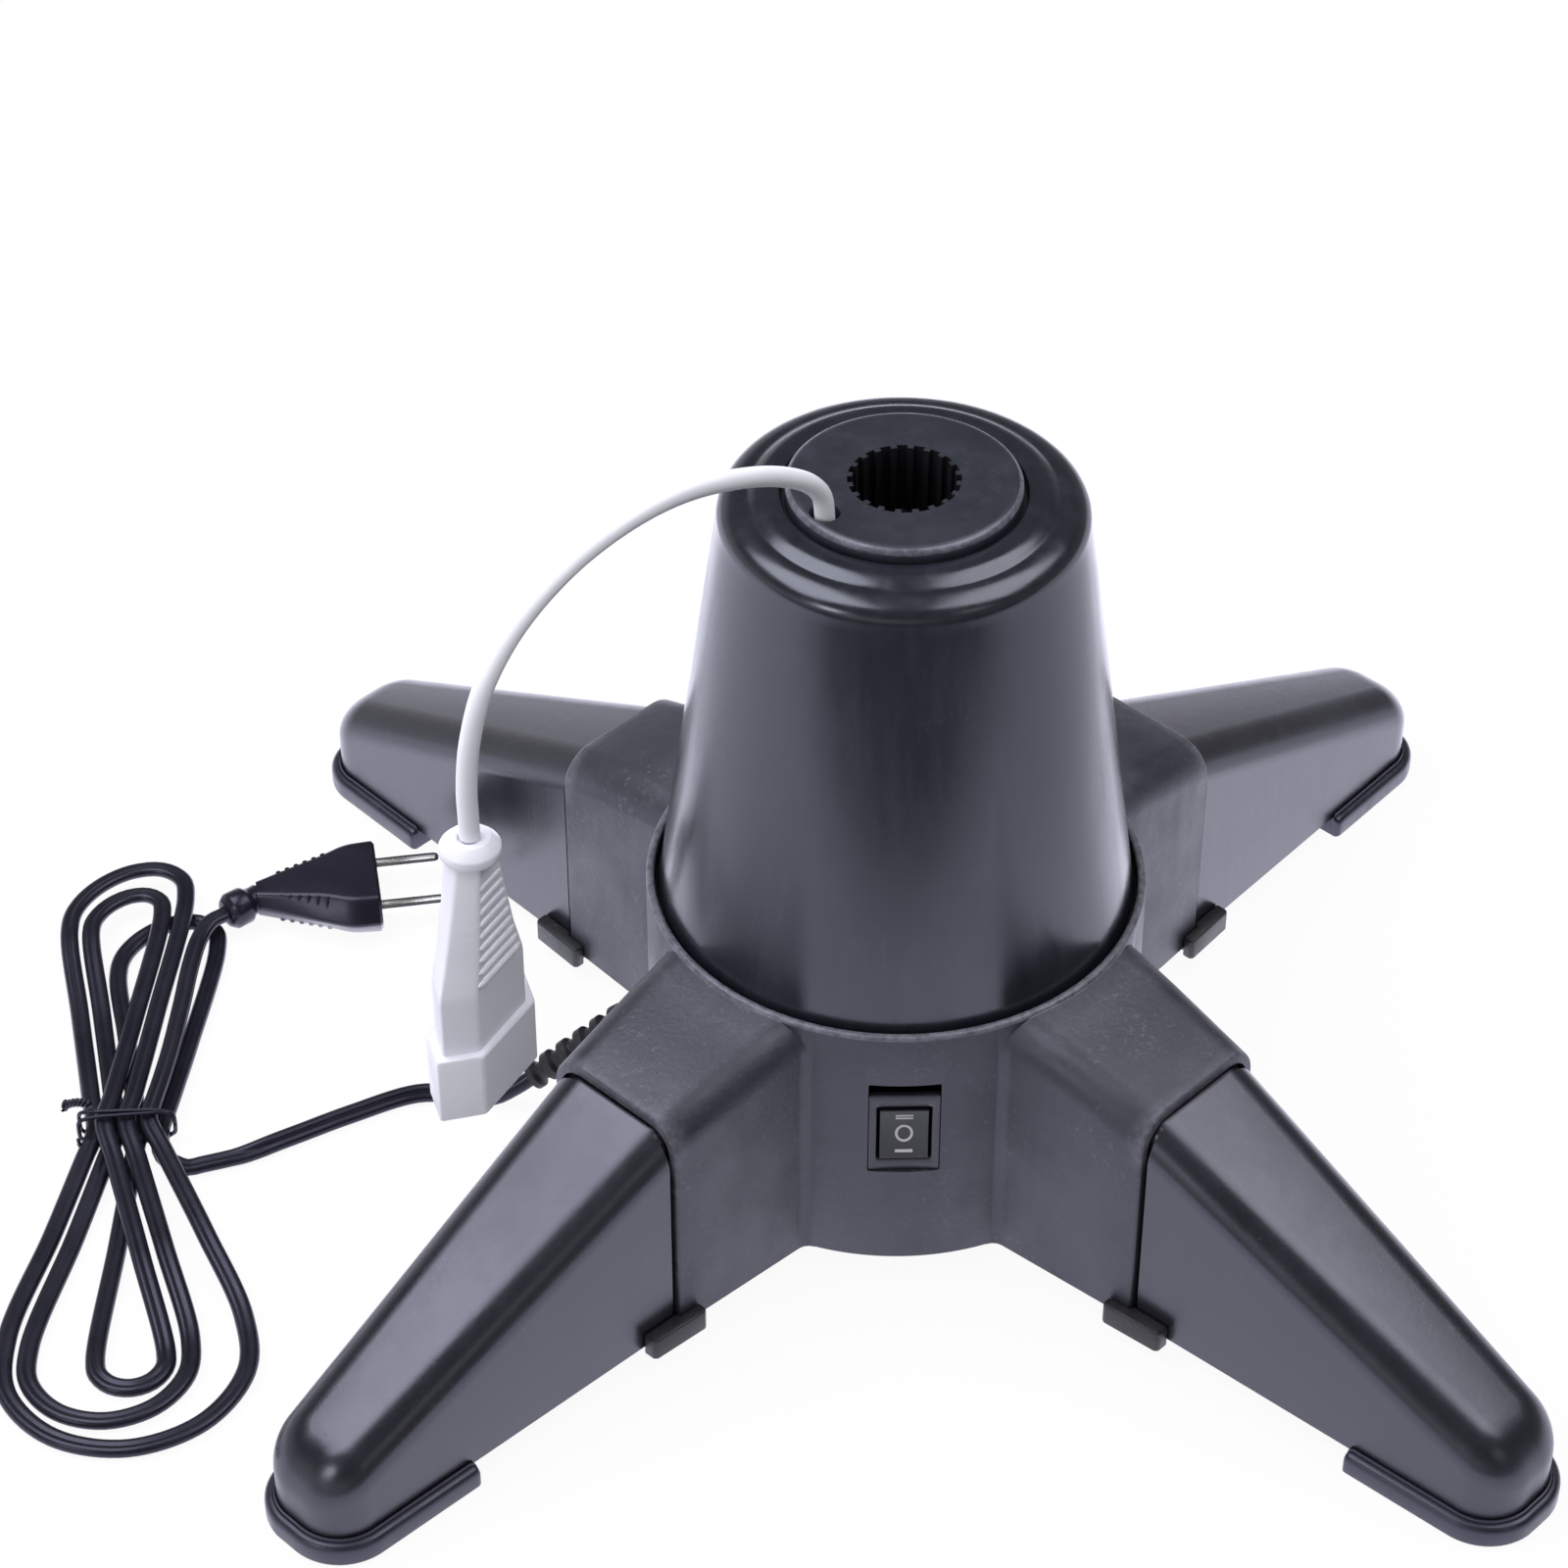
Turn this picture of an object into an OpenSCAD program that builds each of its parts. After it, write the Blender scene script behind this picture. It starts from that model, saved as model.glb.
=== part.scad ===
// Rotating stand for an artificial tree: a hub with four plug-in legs, a motor-driven
// cone that carries the pole, and an outlet lead that turns with it.
// Origin: on the floor under the pole. The switch faces -Y, the legs lie on the diagonals.

/* [Hub housing] */
// Outer radius of the drum
drum_r = 67.6; // [66:0.1:72]
// Wall of the hub moulding
hub_wall = 2.6; // [2:0.1:3.2]
// Height of the hub's lower edge above the floor
hub_bottom = 6.7; // [5:0.1:9]
// Height of the deck's upper face
deck_top = 81; // [79:0.1:83]
// Thickness of the deck
deck_t = 3; // [2:0.1:4]
// Height of the ring lip around the foot of the cone
lip_top = 87.6; // [86.5:0.1:90]
// Width of the ring lip
lip_w = 2.3; // [1.8:0.1:3]
// Radius of the screw posts under the deck
post_r = 4; // [3.5:0.1:5]

/* [Leg sockets] */
// Half width of a socket arm at the drum
arm_root_w = 25.5; // [23:0.1:28]
// Half width of a socket arm at its mouth
arm_mouth_w = 22.5; // [20:0.1:24]
// Distance of the socket mouths from the axis
mouth_u = 107; // [102:0.5:112]
// Height of a socket arm's top at the drum
arm_root_top = 87; // [85:0.1:88]
// Height of a socket arm's top at its mouth
arm_mouth_top = 77.6; // [74:0.1:80]
// Radius of the arms' upper edges
arm_edge_r = 10; // [6:0.5:12]

/* [Legs] */
// Distance of the leg tips from the axis
leg_tip_u = 222.6; // [205:0.1:260]
// Half width of a leg at the socket mouth
leg_w = 21.3; // [19:0.1:22]
// Half width that a leg loses per millimetre of length
leg_taper = 0.053; // [0.03:0.001:0.07]
// Height of a leg's top at the socket mouth
leg_top = 75.1; // [70:0.1:76.5]
// Slope of a leg's top
leg_slope = 0.42; // [0.36:0.01:0.44]
// Height of a leg's lower edge
leg_bottom = 6.2; // [5:0.1:8]
// Wall of a leg shell
leg_wall = 2.4; // [1.8:0.1:3]
// Radius of a leg's upper edges
leg_edge_r = 10.5; // [6:0.5:12]
// Corner radius of the nose, seen from above
nose_r = 13; // [10:0.5:14]
// Radius of the nose's upper edge
nose_top_r = 10; // [6:0.5:11]
// Free space behind the tongue in its socket
tongue_back = 3.2; // [1:0.1:8]
// Clearance around the tongue
tongue_gap = 0.25; // [0.15:0.05:0.5]

/* [Feet and clips] */
// Ledge of the foot strip beyond the leg
foot_ledge = 3.2; // [2:0.1:4]
// Distance of the foot strip's ends from the axis
foot_start_u = 177.5; // [165:0.5:190]
// Height of the foot strip's rim
foot_h = 7.6; // [7:0.1:9]
// Width of the foot strip under the leg
foot_under = 5; // [3.5:0.1:7]
// How far a clip reaches back from the mouth of its arm
clip_back = 6.5; // [5:0.5:9]
// Length of a clip
clip_l = 18.4; // [14:0.1:22]
// Height of a clip's lower face
clip_z = 4.1; // [3:0.1:4.5]
// Height of a clip's cheeks
clip_h = 7; // [5:0.1:9]
// Thickness of a clip's cheeks beyond the arm
clip_t = 3.6; // [2.5:0.1:5]

/* [Cone] */
// Outer radius of the cone's foot
cone_foot_r = 64.3; // [63:0.1:64.6]
// Outer radius of the cone's shoulder
cone_top_r = 47.6; // [44:0.1:52]
// Height of the cone's foot
cone_foot_z = 84; // [83:0.1:85]
// Height of the cone's upper step
cone_top_z = 213.8; // [190:0.1:240]
// Wall of the cone
cone_wall = 2.4; // [2:0.1:3]
// Radius of the shoulder
shoulder_r = 6; // [4:0.1:8]
// Outer radius of the upper step
step_r = 37.8; // [36:0.1:39]
// Height of the upper step
step_h = 1.9; // [1:0.1:2.2]
// Radius of the cap disc
cap_r = 30.2; // [28:0.1:31]
// Gap around the cap disc
cap_gap = 1.1; // [0.6:0.1:1.5]
// Height of the cap disc above the upper step
cap_rise = 3.2; // [2:0.1:4]
// Thickness of the cap disc
cap_t = 5.6; // [5:0.1:8]

/* [Pole socket] */
// Radius of the bore that holds the pole
pole_r = 13.1; // [10:0.05:13.5]
// Depth of the flutes around the mouth of the bore
flute_depth = 1.4; // [0.8:0.1:1.6]
// Number of flutes
flute_n = 20; // [12:1:24]
// Length of the fluted mouth
flute_l = 20; // [10:1:30]
// Wall of the pole sleeve
sleeve_wall = 3.4; // [3:0.1:4]

/* [Drive] */
// Gear module
gear_m = 1.5; // [1.5:0.25:1.5]
// Teeth of the gear under the cone
gear_n = 39; // [39:1:39]
// Teeth of the pinion
pinion_n = 13; // [13:1:13]
// Face width of the gear
gear_w = 8; // [6:0.1:9]
// Backlash cut from each flank
backlash = 0.1; // [0.08:0.01:0.2]
// Free space between the motor can and the wall of the drum
motor_room = 3.5; // [3:0.1:8]
// Height of the motor can
motor_h = 20; // [14:0.1:24]
// Radius of the motor shaft
shaft_r = 3; // [2.5:0.1:4]
// Radius of the rotor's journal
journal_r = 18; // [16:0.1:20]
// Running clearance of the journal
journal_gap = 0.08; // [0.05:0.01:0.1]
// Balls in the thrust bearing
ball_n = 16; // [8:1:24]
// Pitch radius of the balls
ball_pitch_r = 47; // [40:0.1:47.5]

/* [Switch] */
// Width of the switch frame
switch_w = 18.4; // [17.6:0.1:18.8]
// Height of the switch frame
switch_h = 26.4; // [25:0.1:26.8]
// Height of the switch's centre above the floor
switch_z = 52.6; // [52.6:0.1:54]
// Width of the recess around the switch
recess_w = 19.2; // [19:0.1:21]
// Height of the recess
recess_h = 31.6; // [31:0.1:33]
// Height of the recess' lower edge
recess_z = 39; // [38:0.1:39.2]
// Depth of the recess at its middle
recess_d = 2.6; // [2.1:0.1:3.6]

/* [Outlet socket] */
// Length of the outlet socket, collar included
outlet_l = 79.5; // [70:0.1:95]
// Length of the flats of its block
outlet_flat = 24; // [20:0.1:28]
// Thickness of its block
outlet_t = 17; // [15:0.1:20]
// Overall width of its block
outlet_w = 40; // [36:0.1:44]
// Height of its block
outlet_block_h = 20; // [16:0.1:24]
// Diameter of the outlet lead
outlet_d = 5.2; // [4.5:0.1:6]

/* [Mains lead] */
// Width of the flat mains lead
lead_w = 5.4; // [5:0.1:6]
// Thickness of the flat mains lead
lead_t = 3.4; // [3:0.1:3.8]
// Gap between neighbouring runs of the hank at its waist
run_gap = 0.7; // [0.66:0.01:0.8]
// Gap between the two levels of the hank
level_gap = 0.85; // [0.8:0.01:1]
// Distance between the pins of the plug
pin_pitch = 19; // [17:0.1:19.5]
// Length of the pins
pin_l = 19; // [15:0.1:19]

/* [Hidden] */
$fn = 96;
eps = 0.01;
seat = 0.3;             // clearance of pieces that are laid or pushed together

body_col = [0.17, 0.18, 0.20];
hub_col = [0.20, 0.21, 0.23];
trim_col = [0.09, 0.09, 0.10];
steel_col = [0.72, 0.73, 0.75];
brass_col = [0.80, 0.64, 0.30];
white_col = [0.93, 0.93, 0.94];

FL = 225;
FR = 315;
RL = 135;
RR = 45;

// ---- shared shapes ----

// Closed skin over a row of rings that all have the same number of points
module skin(rings) {
    n = len(rings[0]);
    last = (len(rings) - 1) * n;
    polyhedron(
        points = [for (ring = rings) each ring],
        faces = concat(
            [[for (i = [0:n - 1]) i]],
            [for (k = [0:len(rings) - 2], i = [0:n - 1])
                let (a = k * n + i, b = k * n + (i + 1) % n) each [[a, a + n, b], [b, a + n, b + n]]],
            [[for (i = [n - 1:-1:0]) last + i]]));
}

function unit(v) = v / norm(v);

// Direction of a route at its point i
function heading(p, i) = unit(p[min(i + 1, len(p) - 1)] - p[max(i - 1, 0)]);

// Ring of a flat or round tube: w lies across the reference direction, t along it
function tube_ring(c, dir, ref, w, t, sides) =
    let (across = unit(cross(dir, ref)), along = cross(dir, across),
        off = sides % 4 == 0 ? 0.5 : 0, k1 = cos(180 / sides), k0 = off > 0 ? k1 : 1)
    [for (k = [0:sides - 1]) let (a = 360 * (k + off) / sides)
        c + across * w / 2 * cos(a) / k0 + along * t / 2 * sin(a) / k1];

// Tube swept along the points of a route
module tube(points, w, t, sides, ref)
    skin([for (i = [0:len(points) - 1])
        tube_ring(points[i], heading(points, i), ref, w, t, sides)]);

// Ring of a toothed wheel or a fluted bore: flanks are lists of [radius, half angle]
function toothed(n, flank) = [for (k = [0:n - 1])
    each concat(
        [for (p = flank) p[0] * [cos(360 * k / n - p[1]), sin(360 * k / n - p[1])]],
        [for (i = [len(flank) - 1:-1:0]) let (p = flank[i])
            p[0] * [cos(360 * k / n + p[1]), sin(360 * k / n + p[1])]])];

module countersunk_screw(r, l) {
    cylinder(r = r, h = l);
    cylinder(r1 = 2 * r, r2 = r, h = r);
}

// ---- hub housing ----

arc_steps = 5;
deck_z = deck_top - deck_t;
lip_inner_r = drum_r - lip_w;
arm_start_u = drum_r - 14;
pocket_u = drum_r + 2.2;
tongue_u = pocket_u + tongue_back;
clip_u = mouth_u - clip_back;
recess_y = drum_r - recess_d;

function arm_w(u) = arm_root_w + (arm_mouth_w - arm_root_w) * (u - drum_r) / (mouth_u - drum_r);
function arm_top(u) = arm_root_top + (arm_mouth_top - arm_root_top) * (u - drum_r) / (mouth_u - drum_r);

// Arched section of half width w from z0 to z1 at distance u, with rounded upper edges
function arch(u, w, z0, z1, r) = concat(
    [[u, w, z0]],
    [for (i = [0:arc_steps]) let (a = 90 * i / arc_steps) [u, w - r + r * cos(a), z1 - r + r * sin(a)]],
    [for (i = [0:arc_steps]) let (a = 90 * i / arc_steps) [u, r - w - r * sin(a), z1 - r + r * cos(a)]],
    [[u, -w, z0]]);

function arm_section(u, inset, bottom) =
    arch(u, arm_w(u) - inset, bottom, arm_top(u) - inset, arm_edge_r - inset);

post_places = [for (a = [22, 158, 202, 338]) (drum_r - hub_wall - post_r - 6) * [cos(a), sin(a)]];
boss_r = 4.5;
motor_y = gear_m * (gear_n + pinion_n) / 2;
motor_r = drum_r - hub_wall - motor_y - motor_room;
motor_ear_x = motor_r + 5;
motor_plate_t = 2;
gear_z = 62;
pinion_over = 0.5;
motor_top = gear_z - 3.5 - motor_plate_t;
bush_wall = 2;
collar_z = deck_z - 6;
collar_r = journal_r + journal_gap + bush_wall + 2.5;
cover_t = 2.5;
cover_z = hub_bottom + 0.8;
screw_r = 1.5;

relief_z = 33;
relief_y = 1;
relief_r = 5;
relief_hole_r = 4;

module hub_housing() color(hub_col) {
    difference() {
        union() {
            translate([0, 0, hub_bottom]) cylinder(r = drum_r, h = lip_top - 0.8 - hub_bottom);
            translate([0, 0, lip_top - 0.8]) cylinder(r1 = drum_r, r2 = drum_r - 0.7, h = 0.8);
            for (a = [FL, FR, RL, RR]) rotate(a)
                skin([arm_section(arm_start_u, 0, hub_bottom), arm_section(mouth_u, 0, hub_bottom)]);
        }
        translate([0, 0, hub_bottom - 1]) cylinder(r = drum_r - hub_wall, h = deck_z - hub_bottom + 1);
        translate([0, 0, deck_top]) cylinder(r = lip_inner_r, h = 20);
        translate([0, 0, deck_z - 1]) cylinder(r = collar_r - eps, h = deck_t + 2);
        for (a = [FL, FR, RL, RR]) rotate(a)
            skin([arm_section(pocket_u, hub_wall, hub_bottom - 1),
                arm_section(mouth_u + 1, hub_wall, hub_bottom - 1)]);
        translate([-recess_w / 2, -drum_r - 1, recess_z]) cube([recess_w, drum_r - recess_y + 1, recess_h]);
        translate([-switch_body_w / 2 - 0.1, -drum_r, switch_z - switch_body_h / 2 - 0.1])
            cube([switch_body_w + 0.2, 8, switch_body_h + 0.2]);
        translate([-drum_r - 1, relief_y, relief_z]) rotate([0, 90, 0])
            cylinder(r = relief_hole_r + 0.1, h = hub_wall + 4);
    }
    // flat wall behind the switch recess
    difference() {
        translate([-recess_w / 2 - 1.5, -recess_y, recess_z - 2])
            cube([recess_w + 3, hub_wall, recess_h + 4]);
        translate([-switch_body_w / 2 - 0.1, -drum_r, switch_z - switch_body_h / 2 - 0.1])
            cube([switch_body_w + 0.2, 8, switch_body_h + 0.2]);
    }
    // collar that holds the bearing bush
    translate([0, 0, collar_z]) difference() {
        cylinder(r = collar_r, h = deck_top - collar_z);
        translate([0, 0, -1]) cylinder(r = journal_r + journal_gap + bush_wall, h = deck_top - collar_z + 2);
    }
    // posts for the bottom cover
    for (p = post_places) translate([p[0], p[1], cover_z + cover_t]) difference() {
        cylinder(r = post_r, h = deck_z - cover_z - cover_t + eps, $fn = 32);
        translate([0, 0, -1]) cylinder(r = screw_r, h = 13, $fn = 32);
    }
    // bosses for the motor
    for (x = [-1, 1]) translate([x * motor_ear_x, motor_y, motor_top + motor_plate_t]) difference() {
        cylinder(r = boss_r, h = deck_z - motor_top - motor_plate_t + eps, $fn = 32);
        translate([0, 0, -1]) cylinder(r = screw_r, h = 9, $fn = 32);
    }
}

module bottom_cover() color(trim_col) difference() {
    translate([0, 0, cover_z]) cylinder(r = drum_r - hub_wall - seat, h = cover_t);
    for (p = post_places) translate([p[0], p[1], cover_z - 1])
        countersink(screw_r + 0.2, cover_t + 2, 1);
    for (x = [-2:2], y = [-1, 1]) translate([x * 9 - 1.5, y * 26 - 9, cover_z - 1])
        cube([3, 18, cover_t + 2]);
}

// Clearance hole with a conical seat that starts at height at
module countersink(r, l, at) {
    cylinder(r = r, h = l, $fn = 32);
    translate([0, 0, at - eps]) cylinder(r1 = 2 * r, r2 = r, h = r, $fn = 32);
}

module cover_screws() color(steel_col)
    for (p = post_places) translate([p[0], p[1], cover_z]) difference() {
        countersunk_screw(screw_r, 11, $fn = 32);
        translate([-1.6, -0.3, -1]) cube([3.2, 0.6, 1.6]);
    }

// ---- motor and pinion ----

module motor_can() color(steel_col)
    translate([0, motor_y, motor_top - motor_h]) rotate_extrude()
        polygon([[0, 0], [motor_r - 1.5, 0], [motor_r, 1.5], [motor_r, motor_h], [0, motor_h]]);

module motor_plate() color(steel_col)
    translate([0, motor_y, motor_top]) difference() {
        union() {
            cylinder(r = motor_r, h = motor_plate_t);
            translate([-motor_ear_x, -5, 0]) cube([2 * motor_ear_x, 10, motor_plate_t]);
            for (x = [-1, 1]) translate([x * motor_ear_x, 0, 0]) cylinder(r = 5, h = motor_plate_t, $fn = 32);
        }
        translate([0, 0, -1]) cylinder(r = shaft_r + 0.8, h = motor_plate_t + 2, $fn = 48);
        for (x = [-1, 1]) translate([x * motor_ear_x, 0, -1])
            cylinder(r = screw_r + 0.2, h = motor_plate_t + 2, $fn = 32);
    }

module motor_screws() color(steel_col)
    for (x = [-1, 1]) translate([x * motor_ear_x, motor_y, motor_top - 2]) difference() {
        union() {
            cylinder(r = 2.8, h = 2, $fn = 32);
            cylinder(r = screw_r, h = 10, $fn = 32);
        }
        translate([-2, -0.4, -1]) cube([4, 0.8, 1.8]);
    }

// Involute flank from the root to the tip, as [radius, half angle]
pressure_a = 25;
function inv(a) = tan(a) * 180 / PI - a;
function gear_flank(n) =
    let (rp = gear_m * n / 2, rb = rp * cos(pressure_a), tip = rp + 0.8 * gear_m, root = rp - gear_m,
        start = max(rb, root) + eps,
        mid = 90 / n - backlash / rp * 180 / PI + inv(pressure_a))
    concat([[root, mid + 0.3 / rp * 180 / PI - inv(acos(rb / start))]],
        [for (i = [0:2]) let (r = start + (tip - start) * i / 2) [r, mid - inv(acos(rb / r))]]);

module gear(n, w) linear_extrude(w) polygon(toothed(n, gear_flank(n)));

module drive_pinion() color(white_col) translate([0, motor_y, 0]) {
    difference() {
        translate([0, 0, gear_z - pinion_over]) rotate(270 + 180 / pinion_n) gear(pinion_n, gear_w + 2 * pinion_over);
        translate([0, 0, gear_z - pinion_over - 1]) cylinder(r = shaft_r, h = gear_w + 4, $fn = 48);
    }
    translate([0, 0, motor_top + 0.2]) cylinder(r = shaft_r, h = gear_z + gear_w + 1 - motor_top, $fn = 48);
}

// ---- bearings ----

module bearing_bush() color(brass_col) translate([0, 0, collar_z]) difference() {
    cylinder(r = journal_r + journal_gap + bush_wall, h = deck_top - collar_z);
    translate([0, 0, -1]) cylinder(r = journal_r + journal_gap, h = deck_top - collar_z + 2);
}

race_t = 1;
race_w = 9;
plate_z = cone_foot_z + 4;
plate_t = 3;
ball_gap = 0.1;
ball_r = (plate_z - deck_top - 2 * race_t) / 2 - ball_gap;
ball_z = (plate_z + deck_top) / 2;

module flat_ring(r0, r1, z, h) translate([0, 0, z]) difference() {
    cylinder(r = r1, h = h);
    translate([0, 0, -1]) cylinder(r = r0, h = h + 2);
}

module race_lower() color(steel_col)
    flat_ring(ball_pitch_r - race_w / 2, ball_pitch_r + race_w / 2, deck_top, race_t);

module race_upper() color(steel_col)
    flat_ring(ball_pitch_r - race_w / 2, ball_pitch_r + race_w / 2, plate_z - race_t, race_t);

module bearing_cage() color(white_col) difference() {
    flat_ring(ball_pitch_r - race_w / 2, ball_pitch_r + race_w / 2, ball_z - 0.9, 1.8);
    for (k = [0:ball_n - 1]) rotate(360 * k / ball_n) translate([ball_pitch_r, 0, ball_z - 2])
        cylinder(r = ball_r + 0.15, h = 4, $fn = 32);
}

module bearing_balls() color(steel_col)
    for (k = [0:ball_n - 1]) rotate(360 * k / ball_n) translate([ball_pitch_r, 0, ball_z])
        sphere(r = ball_r, $fn = 32);

// ---- rotor ----

cone_step_z = cone_top_z - step_h;
cone_shoulder_z = cone_step_z - shoulder_r;
cone_slope = (cone_foot_r - cone_top_r) / (cone_shoulder_z - cone_foot_z);
cap_top = cone_top_z + cap_rise;
cap_z = cap_top - cap_t;
mouth_r = cap_r + cap_gap;
ledge_t = 2.4;
function cone_r(z) = cone_foot_r - cone_slope * (z - cone_foot_z);
cone_boss_r = 4.5;
plate_r = cone_r(plate_z) - cone_wall - 0.6;
cone_boss_u = plate_r - cone_boss_r;
cone_boss_h = 14;
cone_boss_a = [45, 135, 225, 315];
boss_z = plate_z + plate_t;

cone_outline = concat(
    [[cone_foot_r - cone_wall, cone_foot_z], [cone_foot_r, cone_foot_z]],
    [for (i = [0:6]) let (a = 15 * i)
        [cone_top_r - shoulder_r + shoulder_r * cos(a), cone_shoulder_z + shoulder_r * sin(a)]],
    [[step_r + 1.7, cone_step_z], [step_r, cone_top_z - 0.5], [step_r - 0.6, cone_top_z], [mouth_r, cone_top_z],
        [mouth_r, cap_z], [cap_r - 4, cap_z], [cap_r - 4, cap_z - ledge_t],
        [cone_top_r - cone_wall - 3, cap_z - ledge_t],
        [cone_top_r - cone_wall, cap_z - ledge_t - 3]]);

module rotor_cone() color(body_col) {
    difference() {
        rotate_extrude() polygon(cone_outline);
        rotate(notch_a) translate([notch_u, 0, cap_z - ledge_t - 1]) cylinder(r = notch_r + 0.5, h = ledge_t + 2, $fn = 32);
    }
    // screw bosses, kept inside the wall
    for (a = cone_boss_a) rotate(a) difference() {
        intersection() {
            translate([cone_boss_u, 0, boss_z]) cylinder(r = cone_boss_r, h = cone_boss_h, $fn = 32);
            translate([0, 0, boss_z]) cylinder(r1 = cone_r(boss_z) - 0.6,
                r2 = cone_r(boss_z + cone_boss_h) - 0.6, h = cone_boss_h);
        }
        translate([cone_boss_u, 0, boss_z - 1]) cylinder(r = screw_r, h = 11, $fn = 32);
    }
}

notch_u = 24.5;
notch_a = 214;
notch_r = 3.6;
sleeve_r = pole_r + sleeve_wall;
sleeve_floor_z = plate_z + plate_t;
sleeve_floor_t = 4;
flute_outer_r = pole_r + flute_depth;
flute_wall = sleeve_wall + 0.8;

flute_points = toothed(flute_n, [[pole_r + 0.1, 112 / flute_n], [flute_outer_r, 112 / flute_n]]);

// Cap disc with the fluted mouth of the pole socket and the hole for the outlet lead
module rotor_cap() color(body_col) difference() {
    union() {
        translate([0, 0, cap_z]) cylinder(r = cap_r, h = cap_t - 1.2);
        translate([0, 0, cap_top - 1.2]) cylinder(r1 = cap_r, r2 = cap_r - 1.6, h = 1.2);
        translate([0, 0, cap_top - flute_l]) cylinder(r = flute_outer_r + flute_wall, h = flute_l - 1);
    }
    translate([0, 0, cap_top - flute_l - 1]) linear_extrude(flute_l + 2) polygon(flute_points);
    rotate(notch_a) translate([notch_u, 0, cap_z - 30]) cylinder(r = notch_r, h = 60, $fn = 32);
}

module pole_sleeve() color(trim_col) difference() {
    union() {
        translate([0, 0, sleeve_floor_z]) cylinder(r = sleeve_r, h = cap_top - flute_l - sleeve_floor_z);
        translate([0, 0, sleeve_floor_z]) cylinder(r = sleeve_r + 8, h = 3);
    }
    translate([0, 0, sleeve_floor_z + sleeve_floor_t]) cylinder(r = pole_r, h = 200);
    for (a = [30, 150, 270]) rotate(a) translate([sleeve_r + 4.2, 0, sleeve_floor_z - 1])
        cylinder(r = screw_r, h = 5, $fn = 32);
}

gear_seat_z = gear_z + gear_w;
wire_hole_u = sleeve_r + 14;

module rotor_plate() color(trim_col) difference() {
    union() {
        translate([0, 0, plate_z]) cylinder(r = plate_r, h = plate_t);
        translate([0, 0, gear_seat_z]) cylinder(r = journal_r, h = plate_z - gear_seat_z + eps);
    }
    translate([0, 0, gear_seat_z - 1]) cylinder(r = 7, h = plate_z - gear_seat_z - 1, $fn = 48);
    for (a = cone_boss_a) rotate(a) translate([cone_boss_u, 0, plate_z - 1])
        countersink(screw_r + 0.2, plate_t + 2, 1);
    for (a = [30, 150, 270]) rotate(a) {
        translate([sleeve_r + 4.2, 0, plate_z - 1]) countersink(screw_r + 0.2, plate_t + 2, 1);
        translate([12, 0, gear_seat_z - 1]) cylinder(r = screw_r, h = 9, $fn = 32);
    }
    rotate(210) translate([wire_hole_u, 0, plate_z - 1]) cylinder(r = 3, h = plate_t + 2, $fn = 32);
}

module rotor_screws() color(steel_col)
    for (a = cone_boss_a) rotate(a) translate([cone_boss_u, 0, plate_z]) countersunk_screw(screw_r, 11, $fn = 32);

module sleeve_screws() color(steel_col)
    for (a = [30, 150, 270]) rotate(a) translate([sleeve_r + 4.2, 0, plate_z])
        countersunk_screw(screw_r, plate_t + 2.5, $fn = 32);

core_r = 8.5;
core_l = 24;
gear_pitch_r = gear_m * gear_n / 2;

module drive_gear() color(white_col) difference() {
    translate([0, 0, gear_z]) rotate(90) gear(gear_n, gear_w);
    translate([0, 0, gear_z - 1]) cylinder(r = 6, h = gear_w + 2, $fn = 48);
    for (a = [30, 150, 270]) rotate(a) translate([12, 0, gear_z - 1])
        cylinder(r = screw_r + 0.2, h = gear_w + 2, $fn = 32);
    for (a = [0:60:300]) rotate(a) translate([0.64 * gear_pitch_r + 3, 0, gear_z - 1])
        cylinder(r = 3.4, h = gear_w + 2, $fn = 32);
}

module gear_screws() color(steel_col)
    for (a = [30, 150, 270]) rotate(a) translate([12, 0, gear_z - 2]) {
        cylinder(r = 2.8, h = 2, $fn = 32);
        cylinder(r = screw_r, h = gear_w + 9, $fn = 32);
    }

ring_zs = [gear_z - core_l + 4, gear_z - core_l + 13];
ring_h = 5;
ring_r = core_r + 1.4;

module slip_core() color(trim_col) difference() {
    union() {
        translate([0, 0, gear_z - core_l]) cylinder(r = core_r, h = core_l);
        translate([0, 0, gear_z]) cylinder(r = 5.9, h = gear_w + 4, $fn = 48);
    }
    for (z = ring_zs) flat_ring(core_r - 1, core_r + 1, z, ring_h);
    translate([0, 0, gear_z - core_l - 1]) cylinder(r = 3, h = core_l + gear_w + 8, $fn = 48);
}

module slip_rings() color(brass_col)
    for (z = ring_zs) flat_ring(core_r - 1, ring_r, z, ring_h);

brush_x = ring_r + 6;
module brush_holder() color(trim_col) difference() {
    translate([brush_x, -7, cover_z + cover_t]) cube([10, 14, ring_zs[1] + ring_h + 4 - cover_z - cover_t]);
    for (z = ring_zs) translate([brush_x - 1, -1.6, z + 0.9]) cube([8, 3.2, ring_h - 1.8]);
}

module brushes() color(brass_col)
    for (z = ring_zs) translate([ring_r + 0.15, -1.5, z + 1]) cube([brush_x - ring_r + 6, 3, ring_h - 2]);

// ---- switch ----

switch_body_w = 16.4;
switch_body_h = 22;
frame_t = 1.7;
rocker_w = 13;
rocker_h = 17.6;
rocker_y = -recess_y + 0.6;
pivot_r = 1.4;

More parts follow.
